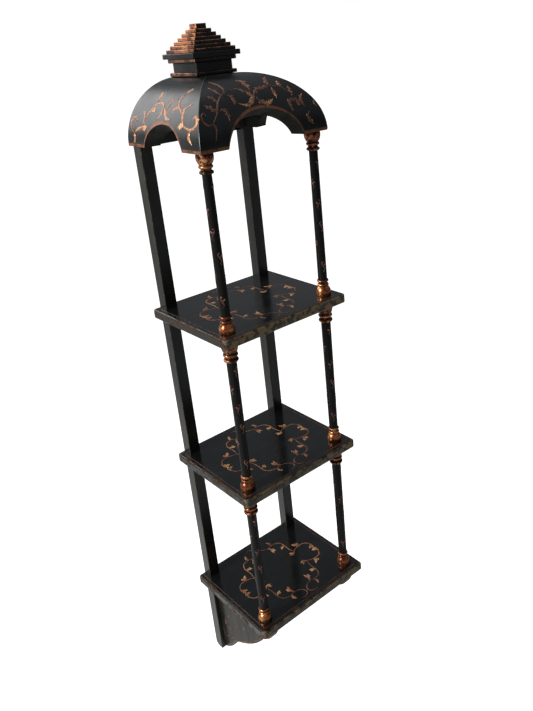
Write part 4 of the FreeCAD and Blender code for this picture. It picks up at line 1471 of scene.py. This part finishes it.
@dataclass
class Shelves:
    """The three shelf boards with their painted wreaths and pin lines, which are laid out in millimetres."""

    names: tuple[str, ...] = ("shelf_top", "shelf_middle", "shelf_bottom")
    middle: tuple[float, float] = (0.0, -109.0)
    pin_inset: float = 9.0
    pin_width: float = 1.6
    pin_corner: float = 6.0
    pin_bend: float = 1.8
    pin_back: float = -4.0
    paint_height: float = 0.35 * MM
    pin_height: float = 0.2 * MM
    dulled_edge: float = 9 * MM
    dulled_sides: float = 0.65

    def wreath(self) -> list[Stroke]:
        """The wreath: a quarter mirrored across both middle lines of the board.

        Returns:
            Strokes in millimetres of X and Y.
        """
        x, y = self.middle
        return [
            replace(stroke, knots=tuple((x + across * a, y - along * b) for a, b in stroke.knots))
            for across in (1, -1)
            for along in (1, -1)
            for stroke in WREATH_QUARTER
        ]

    def pin_line(self, x: float, front: float) -> list[Stroke]:
        """The pin line along three sides: straight runs joined by bent corners.

        Args:
            x: place of its sides.
            front: place of its front.

        Returns:
            Strokes in millimetres of X and Y.
        """
        corner, bend, back = self.pin_corner, self.pin_bend, self.pin_back
        runs = [
            ((-x, back), (-x, front + corner)),
            ((-x, front + corner), (-x + bend, front + bend), (-x + corner, front)),
            ((-x + corner, front), (x - corner, front)),
            ((x - corner, front), (x - bend, front + bend), (x, front + corner)),
            ((x, front + corner), (x, back)),
        ]
        return [Stroke(run, self.pin_width, Taper.LINE) for run in runs]

    def build(self, effects: Effects, cad: Nodes) -> None:
        """Finish the boards and lay the paint.

        Args:
            effects: the shared groups.
            cad: the CAD nodes by name.
        """
        paint = WREATH_COPPER.material(everywhere(1.0), stored("tone"))
        pin = PIN_BROWN.material(everywhere(1.0))
        for number, name in enumerate(self.names):
            low, high = node_box(name)
            near = box_edges(effects, name, self.dulled_edge, self.dulled_sides)
            refinish(cad[name], replace(SHELF_LACQUER, name="lacquer_" + name).material(effects, near))

            def top(flat: Array, level: float = high[2]) -> tuple[Array, Array]:
                """Returns: points on the board's top and the way up."""
                spot = np.column_stack([flat, np.full(len(flat), level)])
                return spot, np.tile([0.0, 0.0, 1.0], (len(flat), 1))

            brush = Brushwork(name + "_wreath", samples=14, height=self.paint_height)
            settle(brush.lay(self.wreath(), top, seed=number + 11), paint, "finial_copper")
            runs = self.pin_line(high[0] / MM - self.pin_inset, low[1] / MM + self.pin_inset)
            brush = Brushwork(name + "_pin_line", samples=10, height=self.pin_height)
            settle(brush.lay(runs, top, seed=number + 31), pin, "finial_copper")


@dataclass
class Brackets:
    """The two scalloped side brackets: a ruled net between the lobed edge and the straight edges.

    A lobe ends so far out from the heel and so far below it, and bulges so far, in millimetres.
    """

    thickness: float = 12.5 * MM
    inner_x: float = 90.2 * MM
    lobes: tuple[tuple[float, float, float], ...] = ((49.0, 128.0, 5.5), (155.0, 41.0, 8.5))
    tip_bulge: float = 6.5
    lobe_points: int = 17
    rows: int = 10
    border: float = 6 * MM

    def edges(self, node: str) -> tuple[Array, Array]:
        """The lobed edge from toe to tip and the straight edges beside it.

        Args:
            node: the CAD bracket.

        Returns:
            Matching points (Y, Z) of both.
        """
        low, high = node_box(node)
        heel = np.array([high[1], high[2]])
        corners = [np.array([high[1], low[2]])]
        corners += [heel - np.array([out, drop]) * MM for out, drop, _ in self.lobes]
        corners.append(np.array([low[1], high[2]]))
        bulges = [lobe[2] for lobe in self.lobes] + [self.tip_bulge]
        arcs = []
        for start, end, bulge in zip(corners, corners[1:], bulges):
            along = unit(end - start)
            outward = np.array([along[1], -along[0]])
            outward *= np.sign(outward @ ((start + end) / 2 - heel))
            arcs.append(arc_through(start, (start + end) / 2 + outward * bulge * MM, end, self.lobe_points))
        lobed = np.vstack([arcs[0], arcs[1][1:], arcs[2][1:]])
        length = np.concatenate([[0.0], np.cumsum(np.linalg.norm(np.diff(lobed, axis=0), axis=1))])
        legs = np.array([heel[1] - low[2], heel[0] - low[1]])
        walk = length / length[-1] * legs.sum()
        straight = np.column_stack([
            heel[0] - np.clip(walk - legs[0], 0, None),
            low[2] + np.clip(walk, 0, legs[0]),
        ])
        return lobed, straight

    def build(self, effects: Effects) -> None:
        """Build both brackets and their strokes.

        Args:
            effects: the shared groups.
        """
        material = BRACKET_LACQUER.material(effects, near_border(self.border))
        paint = FAINT_COPPER.material(everywhere(1.0), stored("tone"))
        outer_x = self.inner_x + self.thickness
        share = np.linspace(0, 1, self.rows)[:, None]
        for side in Side:
            node = "bracket_" + side.word
            lobed, straight = self.edges(node)
            net = lobed[:, None] * (1 - share) + straight[:, None] * share
            sheets = [
                np.concatenate([np.full(net.shape[:2] + (1,), side.value * x), net], axis=-1)[:, ::order]
                for x, order in ((self.inner_x, -1), (outer_x, 1))
            ]
            ring = np.concatenate(sheets, axis=1)
            gap = np.linalg.norm(net - net[:, :1], axis=-1)
            rim = np.concatenate([gap[:, ::-1], gap], axis=1)
            piece = put_mesh("bracket_scroll_" + side.word, ring, tube_faces(*ring.shape[:2]), {"rim": rim})
            settle(piece, material, "bracket_lacquer", node)

            def face(flat: Array, way: int = side.value) -> tuple[Array, Array]:
                """Returns: points on the bracket's outer face and the way out."""
                spot = np.column_stack([np.full(len(flat), way * outer_x), flat])
                return spot, np.tile([float(way), 0.0, 0.0], (len(flat), 1))

            brush = Brushwork("bracket_vine_" + side.word)
            settle(brush.lay(frilled(BRACKET_VINE, reach=0.7), face, seed=7), paint, "finial_copper")


@dataclass
class Columns:
    """The six columns: smaller heads under the canopy, larger ones in the two lower bays."""

    # The heads hang in shade under the canopy and the shelves, so they take less gilding than the feet:
    # painted shade that leaves their bulbs patchier and darker.
    small_head: ColumnEnd = ColumnEnd(26.6, 21.6, 14.4, stretch=1.08, outer=0.6, ball=0.75)
    large_head: ColumnEnd = ColumnEnd(27.4, 24.6, 17.0, stretch=1.2, outer=0.8, ball=0.75)
    first_seed: int = 40

    def build(self, paint: bpy.types.Material) -> None:
        """Build the columns.

        Args:
            paint: the copper of the sprigs.
        """
        turned = TURNED_COPPER.material(stored("gilt"))
        heads = {"upper": self.small_head, "middle": self.large_head, "lower": self.large_head}
        for number, (bay, head) in enumerate(heads.items()):
            for side in Side:
                seed = self.first_seed + 2 * number + side.value
                Column(head).build("column_%s_%s" % (bay, side.word), turned, paint, seed)


@dataclass
class Finial:
    """The stepped finial: copper steps and cap, two copper bands, and a black neck and slab."""

    steps: int = 6
    bands: tuple[str, ...] = ("finial_base_moulding", "finial_bed_moulding")
    slabs: tuple[str, ...] = ("finial_neck", "finial_cornice_slab")
    ease: float = 0.8 * MM
    band_ease: float = 1.2 * MM

    def build(self, effects: Effects) -> None:
        """Build the plates.

        Args:
            effects: the shared groups.
        """
        rim = stored("rim")
        steps = STEP_COPPER.material(rim)
        bands = BAND_COPPER.material(rim)
        slabs = FINIAL_BLACK.material(effects, everywhere(0.0))
        for name in ["finial_step_%d" % number for number in range(1, self.steps + 1)] + ["finial_cap"]:
            Plate(self.ease).build(name, steps, "finial_copper")
        for name in self.bands:
            Plate(self.band_ease).build(name, bands, "finial_copper")
        for name in self.slabs:
            Plate(self.ease).build(name, slabs, "finial_lacquer")


@dataclass(frozen=True)
class Lamp:
    """A square soft light: where it stands, where it points, the length of its side and its watts."""

    name: str
    place: tuple[float, float, float]
    target: tuple[float, float, float]
    size: float
    power: float


@dataclass
class Studio:
    """A plain pale floor and backdrop, soft lamps, and the photograph's view.

    Floor and backdrop show white. In reflections the floor is dimmer, more so on the right, and the sky is
    grey, with a dark screen low in front on the right.
    """

    right: tuple[float, float, float] = (0.77, -0.64, 0.0)
    floor_z: float = -2.2
    floor_half: float = 40.0
    place: tuple[float, float, float] = (-0.6483, -1.0384, 0.2108)
    azimuth: float = 39.84
    elevation: float = -22.08
    roll: float = -4.80
    lens: float = 35.6
    shift: tuple[float, float] = (-0.0577, -0.0591)
    white: Colour = (1.0, 1.0, 1.0)
    left_floor: Colour = (0.3, 0.288, 0.264)
    right_floor: Colour = (0.03, 0.03, 0.03)
    floor_fade: float = 0.7
    sky: Colour = (0.188, 0.2, 0.216)
    screen_side: tuple[float, float] = (0.35, 0.8)
    screen_top: tuple[float, float] = (0.12, 0.45)
    lamps: tuple[Lamp, ...] = (
        Lamp("key", (-0.72, 2.5, 1.28), (0.0, -0.1, 0.1), 1.8, 31.0),
        Lamp("side", (-2.4, 0.2, 0.9), (0.0, -0.1, -0.3), 0.8, 72.0),
        Lamp("top", (0.2, 0.2, 2.6), (0.0, -0.1, -0.4), 1.6, 15.0),
    )

    def build(self) -> None:
        """Set floor, world, lights and camera."""
        self.floor()
        self.world()
        for lamp in self.lamps:
            self.hang(lamp)
        self.camera()

    def floor(self) -> None:
        """The pale floor, which is no part of the object; it glows, white to the camera and dimmer, more so
        on the right, in reflections.
        """
        corners = self.floor_half * np.array([[-1, -1], [1, -1], [1, 1], [-1, 1]])
        mesh = bpy.data.meshes.new("floor")
        mesh.from_pydata([(x, y, self.floor_z) for x, y in corners], [], [[0, 1, 2, 3]])
        piece = bpy.data.objects.new("floor", mesh)
        bpy.context.scene.collection.objects.link(piece)
        made, graph, shader = new_material("pale_floor")
        shader.inputs["Base Color"].default_value = (0.8, 0.8, 0.8, 1.0)
        shader.inputs["Roughness"].default_value = 0.9
        across = graph.vector("DOT_PRODUCT", graph.place(), self.right)
        beside = graph.span(across, -self.floor_fade, self.floor_fade)
        dim = graph.mix(beside, self.left_floor, self.right_floor)
        seen = graph.node("ShaderNodeLightPath").outputs["Is Camera Ray"]
        graph.feed(shader.inputs["Emission Color"], graph.mix(seen, dim, self.white))
        shader.inputs["Emission Strength"].default_value = 1.0
        mesh.materials.append(made)

    def world(self) -> None:
        """The backdrop: white where it shows, a grey sky in reflections."""
        world = bpy.data.worlds.new("studio")
        bpy.context.scene.world = world
        world.use_nodes = True
        graph = Graph(world.node_tree)
        seen = graph.node("ShaderNodeLightPath").outputs["Is Camera Ray"]
        way = graph.node("ShaderNodeTexCoord").outputs["Generated"]
        beside = graph.span(graph.vector("DOT_PRODUCT", way, self.right), *self.screen_side)
        low = graph.span(graph.parts(way)[2], *self.screen_top, 1.0, 0.0)
        sky = graph.mix(graph.math("MULTIPLY", beside, low), self.sky, self.right_floor)
        backdrop = world.node_tree.nodes["Background"].inputs["Color"]
        graph.feed(backdrop, graph.mix(seen, sky, self.white))

    @staticmethod
    def hang(lamp: Lamp) -> None:
        """Put a lamp into the scene.

        Args:
            lamp: the lamp.
        """
        data = bpy.data.lights.new(lamp.name, "AREA")
        data.size = lamp.size
        data.energy = lamp.power
        piece = bpy.data.objects.new(lamp.name, data)
        bpy.context.scene.collection.objects.link(piece)
        piece.location = lamp.place
        away = np.array(lamp.place) - np.array(lamp.target)
        flat = math.hypot(away[0], away[1])
        piece.rotation_euler = (math.atan2(flat, away[2]), 0.0, math.atan2(away[0], -away[1]))

    def camera(self) -> None:
        """The camera of the photograph, turned by azimuth, elevation and roll."""
        data = bpy.data.cameras.new("camera")
        data.sensor_width = 36.0
        data.lens = self.lens
        data.shift_x, data.shift_y = self.shift
        data.dof.use_dof = False
        camera = bpy.data.objects.new("camera", data)
        bpy.context.scene.collection.objects.link(camera)
        turn = Matrix.Rotation(math.radians(-self.azimuth), 4, "Z")
        tilt = Matrix.Rotation(math.radians(90 + self.elevation), 4, "X")
        roll = Matrix.Rotation(math.radians(self.roll), 4, "Z")
        camera.matrix_world = Matrix.Translation(self.place) @ turn @ tilt @ roll
        bpy.context.scene.camera = camera
        bpy.context.scene.view_settings.view_transform = "Standard"


def dress_hidden(effects: Effects, frame: dict[str, Any]) -> None:
    """Finish fasteners, hangers and inner wood, which are shown as the CAD has them, by the record's slots.

    Args:
        effects: the shared groups.
        frame: the loaded frame.
    """
    finishes = {slot: finish.material(effects) for slot, finish in HIDDEN_FINISHES.items()}
    for row in frame["record"]["subparts"]:
        if row["material_slot"] in finishes:
            refinish(frame["nodes"][row["node"]], finishes[row["material_slot"]])


def main() -> None:
    """Build the pieces one by one."""
    logging.basicConfig(level=logging.INFO)
    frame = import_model()
    cad = frame["nodes"]
    effects = Effects()
    vine_paint = VINE_COPPER.material(everywhere(1.0), stored("tone"))
    dress_hidden(effects, frame)
    Canopy().build(effects, cad, vine_paint)
    Posts().dress(effects, cad)
    Columns().build(vine_paint)
    Finial().build(effects)
    Shelves().build(effects, cad)
    Brackets().build(effects)
    Studio().build()


if __name__ == "__main__":
    main()
